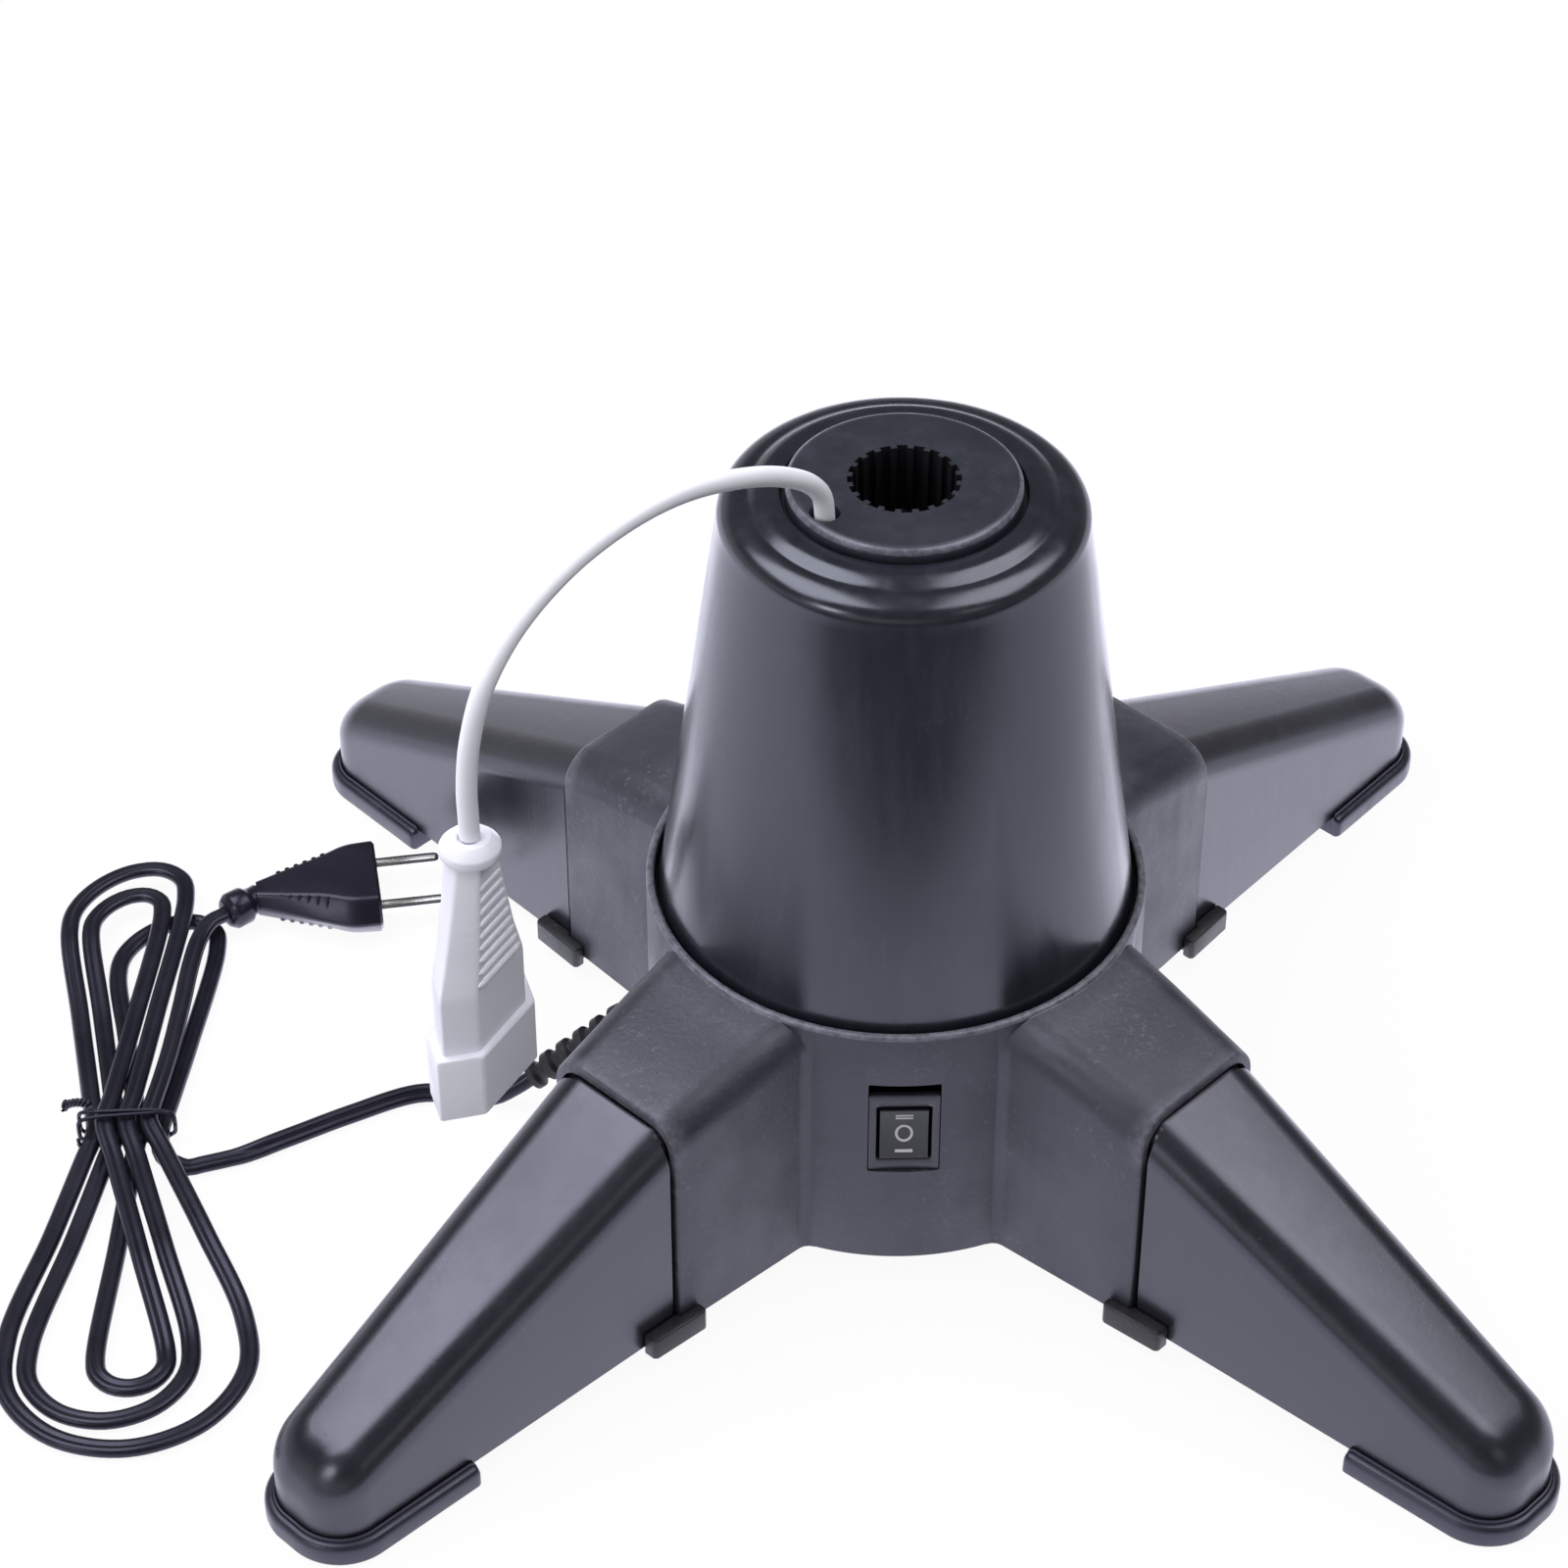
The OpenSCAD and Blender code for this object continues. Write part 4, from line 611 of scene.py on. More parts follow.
# ---- Strain relief ----
# Ribbed sleeve in soft black PVC, moulded on the lead and snapped into the wall of the
# drum. Its ribs let it bend with the lead.
relief_r, relief_taper, rib_h, rib_pitch = 3.6, 0.16, 1.4, relief_length / 6
relief_steps = np.arange(-0.4, relief_length + relief_lip, 0.3)
relief_rings = []
for s in relief_steps:
    rib = soft_step(0.6 + cos(2 * pi * s / rib_pitch))
    r = relief_r - relief_taper * s / rib_pitch + rib_h * rib
    relief_rings.append([(r * cos(t) * 1.02, r * sin(t)) for t in circle(28)])
relief_points, relief_faces = loft(sweep([relief_at(s) for s in relief_steps], relief_rings, up=(0, 1, 0)))


def wall_ring(x, r, n):
    """Ring about the lead's hole in the wall of the drum."""
    return [(x, relief_root[1] + r * cos(t), relief_root[2] + r * sin(t)) for t in circle(n)]


add_to(relief_points, relief_faces, loft([wall_ring(x, r, 36) for x, r in (
    (-61.6, 4), (-67, 4), (-67, 6.5), (-69.3, 6.6), (-69.8, 6.3), (-70, 5.6), (-70, 4.2))]))
soft_black = finish("soft_black", (0.013, 0.013, 0.015), 0.5, patch=60, shift=0.2, grain=1200, depth=0.03)
relief = piece("relief_sleeve", relief_points, relief_faces, soft_black, "trim", "base", 40)
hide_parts("strain_relief")

# ---- Hub housing ----
# One black moulding in coarse matt plastic: a drum with a deck and a ring lip round the
# foot of the cone, and four arched arms whose mouths take the tongues of the legs.
drum_r, wall, hub_z, deck, lip_in, mouth = 67.6, 2.6, 6.7, 81, 65.3, 107
hub_top, arm_r = 87, 10
arm_angles = {"rear_right": 45, "rear_left": 135, "front_left": 225, "front_right": 315}
# of its lightened rim bands, the first is a painted highlight along the lip's rounded top, the second is wear
# dusted on the arms next to the lip, and the third is a painted highlight round the arms' mouths
hub_plastic = finish("hub_plastic", (0.022, 0.023, 0.031), 0.44, patch=34, shift=0.3, rough_shift=0.09,
                     grain=800, depth=0.05, specks=0.5, streaks=0.3, specular=0.8, glaze=(0.88, 0.88, 1),
                     ripple=0.09, ripple_scale=420,
                     highlit_and_worn_rims=((64.9, 68, 86.2, 89, 0.3, 0.75), (66, 84, 79, 100, 8, 0.22),
                           (104, 122, 60, 90, 6, 0.7)))


def arm_w(u):
    """Half the width of an arm at the distance u from the axis."""
    return 25.5 - 3.0 * (u - drum_r) / (mouth - drum_r)


def arm_top(u):
    return hub_top - 9.4 * (max(u, drum_r) - drum_r) / (mouth - drum_r)


def arch(u, w, z0, z1, r, steps=10):
    """Arched section across a leg or arm at the distance u, from one lower edge to the other."""
    turn = [pi / 2 * i / steps for i in range(steps + 1)]
    return ([(u, w, z0)] + [(u, w - r + r * cos(a), z1 - r + r * sin(a)) for a in turn]
            + [(u, r - w - r * sin(a), z1 - r + r * cos(a)) for a in turn] + [(u, -w, z0)])


def turned(points, angle):
    c, s = cos(radians(angle)), sin(radians(angle))
    return [(p[0] * c - p[1] * s, p[0] * s + p[1] * c, p[2]) for p in points]


def spun(outline, sides=160, shut=True):
    """Points and faces of an outline of (radius, height) turned about the axis."""
    return loft([[(r * cos(t), r * sin(t), z) for t in circle(sides)] for r, z in outline], shut)


def spun_tube(outline, sides=160):
    """The same for a closed outline, such as a ring's or a tube's."""
    return spun([*outline, outline[0]], sides, shut=False)


def screw_post(x, y, r, tip_r, z0, z1):
    """Round post with a bore for a screw."""
    bore = 1.5
    points, faces = spun_tube([(bore, z0), (r, z0), (tip_r, z1), (bore, z1)], 32)
    return [(p[0] + x, p[1] + y, p[2]) for p in points], faces


def brick(x0, y0, z0, x1, y1, z1):
    return loft([[(x0, y0, z), (x1, y0, z), (x1, y1, z), (x0, y1, z)] for z in (z0, z1)])


def rounded_box(x0, z0, x1, z1, r, steps):
    return rounded([(x0, z0), (x1, z0), (x1, z1), (x0, z1)], r, steps)


hub = solid("hub_shell", *spun([(67.1, 6.7), (67.5, 6.85), (67.6, 7.3), (67.6, 86.6), (67.45, 87.1),
                                (67.1, 87.45), (66.6, 87.6), (66, 87.6)], 192))
# each arm: a root inside the drum, a fillet that eases it into the wall, and a rounded mouth
root_u, fillet = 65.0, 4.0
for angle in arm_angles.values():
    rings = [arch(53.6, 28.2, hub_z, hub_top, arm_r)]
    for t in (70, 50, 30, 12, 0):
        u = root_u - fillet * sin(radians(t))
        half_w = arm_w(root_u) + fillet * (1 - cos(radians(t)))
        rings.append(arch(u, half_w, hub_z, min(arm_top(u), hub_top), arm_r))
    for u, inset in ((80, 0), (93, 0), (106.1, 0), (106.6, 0.12), (106.9, 0.4), (mouth, 0.8)):
        rings.append(arch(u, arm_w(u) - inset, hub_z, arm_top(u) - inset, arm_r - inset))
    points, faces = loft(rings)
    worked(hub, solid("arm", turned(points, angle), faces), "UNION")
cut_out(hub, spun([(drum_r - wall, hub_z - 1), (drum_r - wall, deck - 3)]))
cut_out(hub, spun([(lip_in, deck), (lip_in, 86.9), (lip_in + 0.25, 87.35), (lip_in + 0.7, 87.6),
                   (lip_in + 0.7, 95)], 192))
cut_out(hub, spun([(22.5, deck - 4), (22.5, deck + 1)]))
for angle in arm_angles.values():
    points, faces = loft([arch(u, arm_w(u) - wall, hub_z - 1, arm_top(u) - wall, arm_r - wall)
                          for u in (69.8, 90, 108)])
    cut_out(hub, (turned(points, angle), faces))
# the switch's flat recess and its slot, and the hole for the mains lead
flat_y, slot_x, slot_low, slot_high = -65, 8.3, 41.5, 63.7
cut_out(hub, loft([[(x, y, z) for x, z in rounded_box(-9.6, 39, 9.6, 70.6, 0.7, 4)] for y in (-70, flat_y)]))
cut_out(hub, brick(-slot_x, -66, slot_low, slot_x, -60, slot_high))
cut_out(hub, loft([wall_ring(x, 4.1, 32) for x in (-70, -60)]))

# inside: the wall behind the recess, the neck for the bush, and posts for the screws of the
# bottom cover and of the motor
back_x, back_low, back_high, post_ring = 11.1, 37, 72.6, 55
inside = [brick(x0, flat_y, z0, x1, -62.4, z1) for x0, z0, x1, z1 in (
    (-back_x, back_low, -slot_x, back_high), (slot_x, back_low, back_x, back_high),
    (-slot_x, back_low, slot_x, slot_low), (-slot_x, slot_high, slot_x, back_high))]
inside.append(spun_tube([(20.08, 72), (22.58, 72), (22.58, deck), (20.08, deck)], 96))
inside += [screw_post(post_ring * cos(radians(a)), post_ring * sin(radians(a)), 4, 4, 10, 78)
           for a in (22, 158, 202, 338)]
inside += [screw_post(x, 39, 4.5, 4.5, 58.5, 78) for x in (-27.5, 27.5)]
dress(hub, hub_plastic, "base", 34)
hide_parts("hub_housing")
inner_ribs = piece("hub_ribs", *gathered(inside), hub_plastic, "hub", "base")
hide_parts("hub_housing")

# ---- Legs ----
# Four hollow legs in glossier black plastic, open underneath. Each has a tongue that is
# pushed into an arm of the hub, and a full round edge along its sides and over its nose.
leg_plastic = finish("leg_plastic", (0.009, 0.009, 0.014), 0.26, patch=16, shift=0.15, rough_shift=0.05,
                     grain=1300, depth=0.010, specks=0.12, streaks=0.2, specular=0.95, glaze=(0.86, 0.86, 1),
                     ripple=0.03)
tip_u, leg_bottom, nose_r, leg_back, leg_edge, leg_wall = 222.6, 6.2, 13, mouth + 1.3, 10.5, 2.4
nose_u = tip_u - nose_r


def leg_w(u):
    return 21.3 - 0.053 * (u - mouth)


def leg_top(u):
    return 75.1 - 0.42 * (u - mouth)


nose_flat = leg_w(nose_u) - nose_r


def leg_outline(inset):
    """Points on one half of a leg's plan, from the mouth to the tip, each with its way in."""
    out = [(u, leg_w(u) - inset, 0, -1) for u in np.linspace(leg_back, nose_u, 12)]
    out += [(nose_u + (nose_r - inset) * sin(a), nose_flat + (nose_r - inset) * cos(a), -sin(a), -cos(a))
            for a in np.linspace(0, pi / 2, 13)[1:]]
    return out


def leg_skin(inset):
    """Columns of points over one whole leg, from the left mouth round the nose to the right mouth."""
    r = leg_edge - inset
    halves = []
    for side in (1, -1):
        half = []
        for u, v, du, dv in leg_outline(inset):
            column = [(u, side * v, leg_bottom)]
            for a in np.linspace(0, pi / 2, 11):
                into = r * (1 - cos(a))
                q = u + du * into
                column.append((q, side * (v + dv * into), leg_top(q) - inset - r * (1 - sin(a))))
            half.append(column)
        halves.append(half)
    return halves[0] + halves[1][::-1]


def leg_form():
    """A leg's outer and inner skin, joined along the lower edge and at the mouth."""
    outer, inner = leg_skin(0), leg_skin(leg_wall)
    n, rows = len(outer), len(outer[0])
    points = [p for column in outer + inner for p in column]
    top, bottom = rows - 1, 0
    faces = []

    def quad(*corners):
        faces.append(tuple((skin * n + column) * rows + row for skin, column, row in corners))

    for skin in (0, 1):
        for c in range(n - 1):
            for k in range(top):
                quad((skin, c, k), (skin, c + 1, k), (skin, c + 1, k + 1), (skin, c, k + 1))
        for c in range(n // 2 - 1):
            quad((skin, c, top), (skin, c + 1, top), (skin, n - 2 - c, top), (skin, n - 1 - c, top))
    for c in range(n - 1):
        quad((0, c, bottom), (1, c, bottom), (1, c + 1, bottom), (0, c + 1, bottom))
    for k in range(top):
        for c in (0, n - 1):
            quad((0, c, k), (0, c, k + 1), (1, c, k + 1), (1, c, k))
    quad((0, 0, top), (0, n - 1, top), (1, n - 1, top), (1, 0, top))
    return points, faces


def tongue_form():
    """The tongue's arch, as a closed band of sections from its back to its step and back inside."""
    rings = [arch(u, arm_w(u) - inset, 7.7, arm_top(u) - inset, arm_r - inset) for u, inset in (
        (73, 2.85), (105, 2.85), (106, 4), (109.4, 4), (109.4, 5.25), (73, 5.25))]
    n, count = len(rings[0]), len(rings)
    faces = [(k * n + i, k * n + i + 1, (k + 1) % count * n + i + 1, (k + 1) % count * n + i)
             for k in range(count) for i in range(n - 1)]
    faces += [tuple(k * n for k in range(count)), tuple(k * n + n - 1 for k in range(count))]
    return [p for ring in rings for p in ring], faces


points, faces = leg_form()
add_to(points, faces, tongue_form())
for name, angle in arm_angles.items():
    leg = piece("leg_shell_" + name, turned(points, angle), faces, leg_plastic, "shell", "base", 40)
    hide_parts("leg_" + name)

# ---- Foot strips ----
# Soft black strips pushed onto the lower edges of the legs from their noses. They stand
# a little proud all round, with a rounded rim, and keep the stand from slipping.
foot_rubber = finish("foot_rubber", (0.014, 0.014, 0.023), 0.34, patch=70, shift=0.3, rough_shift=0.09,
                     grain=1200, streaks=0.4, specular=0.75, glaze=(0.82, 0.82, 1))
foot_back, foot_in = 177.5, -5
# the strip's section: how far it stands out from the leg's side, and the height
foot_profile = [(foot_in, 0), (2.2, 0)]
foot_profile += [(2.2 + sin(a), 1.0 - cos(a)) for a in np.linspace(0.3, pi / 2, 4)]
foot_profile += [(1.2 + 2.0 * cos(a), 4.6 + 2.2 * sin(a)) for a in np.linspace(0, 1.62, 9)]
foot_profile += [(0.98, 6.62), (0.86, 6.9), (0.84, 7.3), (0.7, 7.55), (0.4, 7.6), (0.18, 7.4), (0.1, 6.9),
                 (0.1, 6.25), (foot_in, 6.2)]


def nose_point(s, out):
    """Point at step s of 48 along the nose's plan, from one end of the strip to the other."""
    side, k = (1, s) if s <= 24 else (-1, 48 - s)
    if k <= 10:
        u = foot_back + (nose_u - foot_back) * k / 10
        return u, side * (leg_w(u) + out)
    a = pi / 2 * (k - 10) / 14
    return nose_u + (nose_r + out) * sin(a), side * (nose_flat + (nose_r + out) * cos(a))


ends = ((0, 0.72), (0.1, 0.88), (0.25, 0.97), (0.45, 1))
steps = [*ends, *((s, 1) for s in range(1, 48)), *((48 - s, k) for s, k in ends[::-1])]
sections = [[(*nose_point(s, out * k if out > 1 else out), z * (0.5 + 0.5 * k)) for out, z in foot_profile]
            for s, k in steps]
for name, angle in arm_angles.items():
    rings = [turned(section, angle) for section in sections]
    foot = piece("foot_strip_" + name, *loft(rings), foot_rubber, "foot", "base", 45)
    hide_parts("foot_" + name)

# ---- Clips ----
# Black plastic clips across the joints of arms and legs: two cheeks on a bar that runs
# underneath. They lock the tongues in the arms.
clip_plastic = finish("clip_plastic", (0.018, 0.018, 0.021), 0.46, patch=90, shift=0.25, grain=700,
                      depth=0.06, specks=0.5)
clip_back, clip_front, clip_low, clip_high = 100.5, 118.9, 4.1, 11.1
# a cheek's plan: along the arm and out from the middle of the arm
cheek = [(clip_back, arm_w(clip_back) + 0.1), (clip_back, arm_w(clip_back) + 2.8),
         (101.5, arm_w(clip_back) + 3.6), (117.9, arm_w(clip_front) + 3.6),
         (clip_front, arm_w(clip_front) + 2.8), (clip_front, leg_w(clip_front) + 0.1),
         (107.3, leg_w(mouth) + 0.1), (107.3, arm_w(mouth) + 0.1)]
for name, angle in arm_angles.items():
    points, faces = gathered(loft([[(u, s * v, z) for u, v in cheek] for z in (clip_low, clip_high)])
                             for s in (-1, 1))
    clip = piece("clip_cheeks_" + name, turned(points, angle), faces, clip_plastic, "trim", None)
    worked(clip, 0.8, "BEVEL")
    half = arm_w(clip_back) + 1.8
    points, faces = brick(102.5, -half, clip_low, 116.9, half, 6.1)
    worked(clip, solid("bar", turned(points, angle), faces), "UNION")
    dress(clip, clip_plastic, "base", 50)
    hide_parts("clip_" + name)

# ---- Cone ----
# Tall tapered cover in satin black plastic that turns on the deck and carries the pole.
# It has a round shoulder, a raised step and a mouth that the cap disc sits in.
cone_plastic = finish("cone_plastic", (0.010, 0.012, 0.017), 0.20, patch=18, shift=0.2, grain=1200,
                      depth=0.003, specks=0.10, streaks=0.4, specular=0.9, glaze=(0.88, 0.89, 1))
foot_r, foot_z, top_r, shoulder_z = 64.3, 84, 47.6, 205.9
cone_outline = [(61.9, foot_z), (63.6, foot_z), (64.1, 84.2), (64.28, 84.7)]
cone_outline += [(foot_r - (foot_r - top_r) * f, foot_z + (shoulder_z - foot_z) * f)
                 for f in np.linspace(0.02, 0.98, 25)]
cone_outline += [(top_r - 7.2 + 7.2 * cos(a), shoulder_z + 0.2 + 5.8 * sin(a))
                 for a in np.linspace(0, pi / 2, 16)]
cone_outline += [(40, 211.92), (39.6, 212.05), (39.1, 212.35), (38.5, 212.75), (37.8, 213.15),
                 (37.1, 213.48), (36.4, 213.7), (35.7, 213.8), (32.2, 213.8), (31.6, 213.6), (31.3, 213.1),
                 (31.3, 211.4), (26.2, 211.4), (26.2, 209), (42.2, 209), (45.2, 206)]
cone = solid("cone_cover", *spun_tube(cone_outline, 200))
hole_x, hole_y = 24.5 * cos(radians(214)), 24.5 * sin(radians(214))


def lead_hole(rows):
    """Cutter of (height, radius) rows for the hole that the outlet lead comes out of."""
    return loft([[(hole_x + r * cos(t), hole_y + r * sin(t), z) for t in circle(32)] for z, r in rows])


cut_out(cone, lead_hole(((208, 4.1), (212.5, 4.1))))
dress(cone, cone_plastic, "rotor", 40)
points, faces = screw_post(55.9, 0, 4.5, 4.3, 91, 105)
bosses = piece("cone_bosses", *gathered((turned(points, angle), faces) for angle in arm_angles.values()),
               cone_plastic, "shell", "rotor")
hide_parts("rotor_cone")
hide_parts("rotor_cone")

# ---- Cap ----
# Thick disc pressed into the mouth of the cone, with a fluted hole that grips the foot of
# the pole and a small round hole for the outlet lead.
cap = solid("cap_disc", *spun_tube([
    (0.01, 197), (18.7, 197), (18.7, 211.4), (29.9, 211.4), (30.2, 211.7), (30.2, 215.5), (29.9, 216.1),
    (29.1, 216.7), (28.2, 216.95), (27.4, 217), (0.01, 217)]))
flutes, flute_count = [], 20
for k in range(flute_count):
    for r, a in ((13.2, -5.6), (14.35, -5.6), (14.5, -5.0), (14.5, 5.0), (14.35, 5.6), (13.2, 5.6)):
        t = radians(360 / flute_count * k + a)
        flutes.append((r * cos(t), r * sin(t)))
cut_out(cap, loft([[(x, y, z) for x, y in flutes] for z in (190, 220)]))
cut_out(cap, lead_hole(((205, 3.6), (216.4, 3.6), (217.2, 4.2))))
worked(cap, 0.22, "BEVEL")
# the cap's lightened rim band is a painted highlight along the bevel round its top
cap_plastic = finish("cap_plastic", (0.018, 0.020, 0.028), 0.32, patch=30, shift=0.2, grain=1200, depth=0.014,
                     specks=0.15, streaks=0.3, specular=0.7, glaze=(0.88, 0.89, 1),
                     highlit_and_worn_rims=((28.9, 31, 215, 217.2, 0.3, 0.6),))
dress(cap, cap_plastic, "rotor", 40)
# painted shade: the walls of the fluted hole get a darker, duller finish so the deep hole looks black
bore_painted_shade = finish("bore_painted_shade", (0.006, 0.006, 0.009), 0.62, patch=60, shift=0.2, grain=1000, depth=0.03,
                    specular=0.25)
cap.data.materials.append(bore_painted_shade)
bore_r = 14.8
for face in cap.data.polygons:
    if hypot(*face.center[:2]) < bore_r * MM and abs(face.normal.z) < 0.5:
        face.material_index = 1
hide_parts("rotor_cap")

# ---- Switch ----
# Rocker switch in black plastic with three settings, snapped into the flat recess of the
# drum. White marks for its settings are printed on the rocker.
switch_z = 52.6
rim_black = finish("rim_black", (0.020, 0.021, 0.027), 0.42, patch=120, grain=1500, specular=0.75,
                   glaze=(0.88, 0.88, 1))
switch_black = finish("switch_black", (0.010, 0.010, 0.015), 0.40, patch=120, grain=1500)


def plate(w, h, y, r, lift=0):
    """Rounded rectangle across the switch at y, with its corners' radius."""
    return [(x, y, switch_z + lift + z) for x, z in rounded_box(-w / 2, -h / 2, w / 2, h / 2, r, 4)]


rim = piece("switch_rim", *loft([plate(*row) for row in (
    (16.4, 22, -50, 0.5), (16.4, 22, -65, 0.5), (19, 27, -65, 0.6, 0.1), (19, 27, -66.35, 0.6, 0.1),
    (18.85, 26.85, -66.6, 0.6, 0.1), (18.5, 26.5, -66.7, 0.6, 0.1), (15.2, 19.6, -66.7, 0.9),
    (14.6, 19.0, -66.45, 0.8), (14.4, 18.8, -66, 0.7), (14.4, 18.8, -54.7, 0.7))]),
            rim_black, "trim", "base", 45)
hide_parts("switch_frame")


def rocker_y(z):
    """The rocker's face, hollow by 0.7 mm between its ends."""
    return -66.6 - 0.7 * (z / 8.8) ** 2


side = [(z, rocker_y(z)) for z in np.linspace(-8.8, 8.8, 25)]
side += [(8.6, -66.2), (8.6, -62.6), (4.2, -61.2), (1.2, -59.4),
         (-1.2, -59.4), (-4.2, -61.2), (-8.6, -62.6), (-8.6, -66.2)]
rocker = solid("rocker_key", *loft([[(x, y, switch_z + z) for z, y in side] for x in (-6.5, 6.5)]))
worked(rocker, 0.3, "BEVEL")
dress(rocker, switch_black, "rocker", 28)
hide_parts("switch_rocker")
mark_white = finish("mark_white", (0.78, 0.78, 0.80), 0.5, patch=300, shift=0.05, grain=1500, depth=0.01)


def print_on(outer, inner=None):
    """A thin print on the rocker's face, solid or as a strip between two outlines of (x, z)."""
    sunk, proud = -0.02, 0.06
    layers = [(outer, sunk), (outer, proud)]
    if inner:
        layers += [(inner, proud), (inner, sunk)]
    rings = [[(x, rocker_y(z) - h, switch_z + z) for x, z in ring] for ring, h in layers]
    return loft(rings, shut=not inner)


oval = [[(a * cos(t), b * sin(t)) for t in circle(48)] for a, b in ((2.4, 3.1), (1.7, 2.3))]
mark_points, mark_faces = print_on(*oval)
for z, h in ((-6.2, 0.95), (6.75, 0.6), (5.65, 0.6)):
    dash = rounded_box(-2.35, z - h / 2, 2.35, z + h / 2, 0.2, 2)
    add_to(mark_points, mark_faces, print_on(dash))
piece("rocker_marks", mark_points, mark_faces, mark_white, "trim", "rocker", 40)

# ---- Parts inside the stand ----
# Motor, gears, bearing, rotary contact and screws, which show only from underneath or
# through the slots of the bottom cover. They keep their shapes.
steel = finish("steel", (0.56, 0.57, 0.59), 0.34, patch=60, shift=0.08, rough_shift=0.08, grain=900,
               depth=0.006, metallic=1.0, brushed=(1, 1, 12))
gear_nylon = finish("gear_nylon", (0.66, 0.65, 0.60), 0.42, patch=60, shift=0.04, grain=900, depth=0.012)
trim_black = finish("trim_black", (0.020, 0.020, 0.024), 0.45, patch=40, shift=0.2, grain=1000, depth=0.03,
                    specks=0.15)
inside_finish = {
    steel: ["cover_screws", "motor_can", "motor_plate", "motor_screws", "race_lower", "race_upper",
            "bearing_balls", "rotor_screws", "sleeve_screws", "gear_screws"],
    gear_nylon: ["drive_pinion", "drive_gear", "bearing_cage"],
    brass: ["bearing_bush", "slip_rings", "brushes", "switch_terminals"],
    trim_black: ["bottom_cover", "pole_sleeve", "rotor_plate", "slip_core", "brush_holder"]}
for mat, names in inside_finish.items():
    for name in names:
        refinish(name, mat)

# ---- Floor and light ----
# The stand is set on a white floor that shows only a faint shadow, under two broad
# soft lamps side by side above it and a small one at the front left. To mirrored rays the floor
# glows in painted bright and dark patches, and to bounced light its colour is painted darker on
# the right. The outlet hangs clear of the front left leg and isn't mirrored in it.
floor_mat = bpy.data.materials.new("floor")
floor_mat.use_nodes = True
tree = floor_mat.node_tree
tree.nodes.clear()
rays = node(tree, "LightPath")
glossy = rays.outputs["Is Glossy Ray"]
floor_white = 0.94
seen = maths(tree, "MAXIMUM", rays.outputs["Is Camera Ray"], rays.outputs["Is Transmission Ray"])
lit = maths(tree, "MAXIMUM", maths(tree, "MULTIPLY", seen, floor_white), glossy)
x, y, z = node(tree, "SeparateXYZ", {0: node(tree, "NewGeometry").outputs["Position"]}).outputs
# what the glossy plastic mirrors: dark in front of the stand, bright beside and behind it
front = remap(tree, y, -0.40, -0.27, 0.18, 1.45, "SMOOTHSTEP")
near = remap(tree, maths(tree, "ABSOLUTE", x), 0.20, 0.28, 0.42, 0, "SMOOTHSTEP")
behind = remap(tree, y, 0.0, 0.07, curve="SMOOTHSTEP")
far = remap(tree, x, 0.24, 0.32, 1, 0.8, "SMOOTHSTEP")
gleam = maths(tree, "MULTIPLY", front, maths(tree, "MULTIPLY_ADD", near, behind, far))


def scaled(tree, colour, by):
    return node(tree, "VectorMath", {0: colour, "Scale": by}, operation="SCALE").outputs[0]


white = mixed(tree, glossy, (1, 1, 1, 1), scaled(tree, (0.86, 0.86, 1.0), gleam))
# what the matt plastic gets back from the floor: more on the left
shade = scaled(tree, (0.95, 0.95, 1.0), remap(tree, x, -0.30, 0.05, 0.52, 0.12, "SMOOTHSTEP"))
dim = mixed(tree, rays.outputs["Is Diffuse Ray"], (0.86, 0.86, 0.87, 1), shade)
paper = node(tree, "BsdfDiffuse", {"Color": dim})
glow = node(tree, "Emission", {"Color": white, "Strength": 1.0})
both = node(tree, "MixShader", {0: lit, 1: paper.outputs[0], 2: glow.outputs[0]})
tree.links.new(both.outputs[0], node(tree, "OutputMaterial").inputs["Surface"])
mesh = bpy.data.meshes.new("floor")
edge, low = 4, -0.0004
mesh.from_pydata([(-edge, -edge, low), (edge, -edge, low), (edge, edge, low), (-edge, edge, low)], [],
                 [(0, 1, 2, 3)])
mesh.materials.append(floor_mat)
floor = put("floor", mesh)

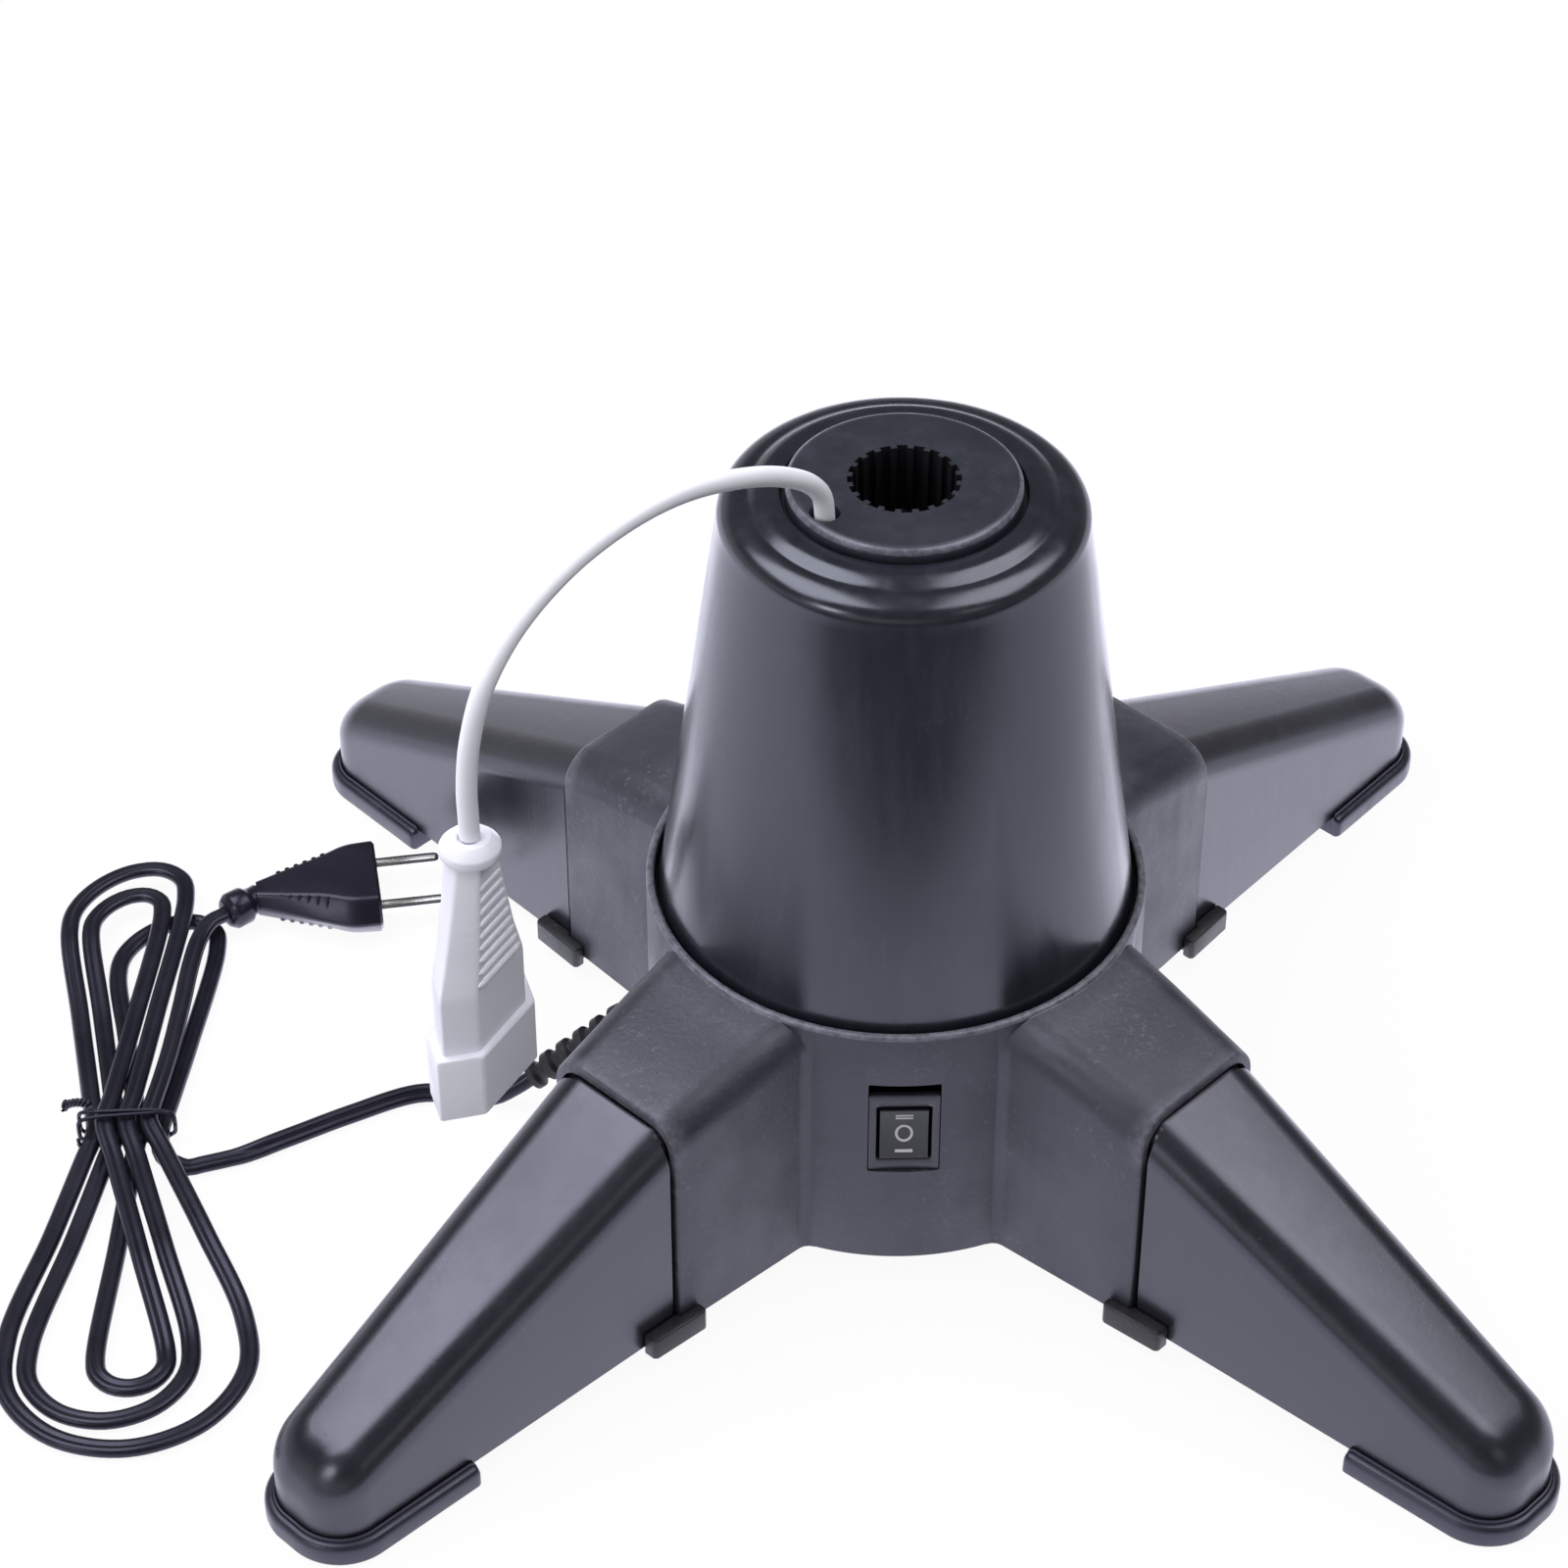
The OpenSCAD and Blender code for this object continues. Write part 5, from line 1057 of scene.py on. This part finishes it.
world = bpy.data.worlds.new("room")
bpy.context.scene.world = world
world.use_nodes = True
tree = world.node_tree
tree.nodes.clear()
rays = node(tree, "LightPath")
aim = node(tree, "TexCoord").outputs["Generated"]
x, y, z = node(tree, "SeparateXYZ", {0: aim}).outputs
sky = node(tree, "ValToRGB", {0: z})
while len(sky.color_ramp.elements) < 4:
    sky.color_ramp.elements.new(0.5)
sky_steps = ((0.0, 0.10), (0.42, 0.10), (0.7, 0.12), (0.95, 0.15))
for step, (height, light) in zip(sky.color_ramp.elements, sky_steps):
    step.position, step.color = height, (light, light, light, 1)
# the mirrored room: a grey sky, a haze low on the left, and a small card at the front right
card = node(tree, "VectorMath", {0: aim, 1: (0.56, -0.66, 0.50)}, operation="DOT_PRODUCT").outputs["Value"]
card = remap(tree, card, cos(radians(11)), cos(radians(6)), 0, 0.8)
haze = maths(tree, "MULTIPLY_ADD", remap(tree, z, 0.2, 0.42, 0.5, 0), remap(tree, x, -0.2, 0.35, 1, 0.2),
             sky.outputs[0])
mirrored = maths(tree, "ADD", haze, card)
soft = remap(tree, x, -1, 1, 0.84, 0.08)
shine = node(tree, "Mix", {0: rays.outputs["Is Glossy Ray"], 2: soft, 3: mirrored}).outputs[0]
level = node(tree, "Mix", {0: rays.outputs["Is Camera Ray"], 2: shine, 3: 1.0}).outputs[0]
back = node(tree, "Background", {"Color": (1, 1, 1, 1), "Strength": level})
tree.links.new(back.outputs[0], node(tree, "OutputWorld").inputs["Surface"])

for name, size, watts, colour, place, turn in (
        ("left_lamp", (0.86, 1.0), 12, (0.90, 0.925, 1), (-0.64, 0.06, 1.15), (0, 0, 0)),
        ("right_lamp", (0.86, 1.0), 9.2, (0.95, 0.95, 1), (0.64, 0.06, 1.15), (0, 0, 0)),
        ("side_lamp", (0.3, 0.3), 1.8, (0.95, 0.95, 1), (-0.85, -0.85, 0.62), (1.13, 0, -pi / 4))):
    light = bpy.data.lights.new(name, "AREA")
    light.shape, light.size, light.size_y, light.energy = "RECTANGLE", size[0], size[1], watts
    light.color = colour
    obj = put(name, light)
    obj.location, obj.rotation_euler = place, turn
for obj in (outlet, block, outlet_lead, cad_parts["outlet_contacts"]):
    obj.visible_glossy = False
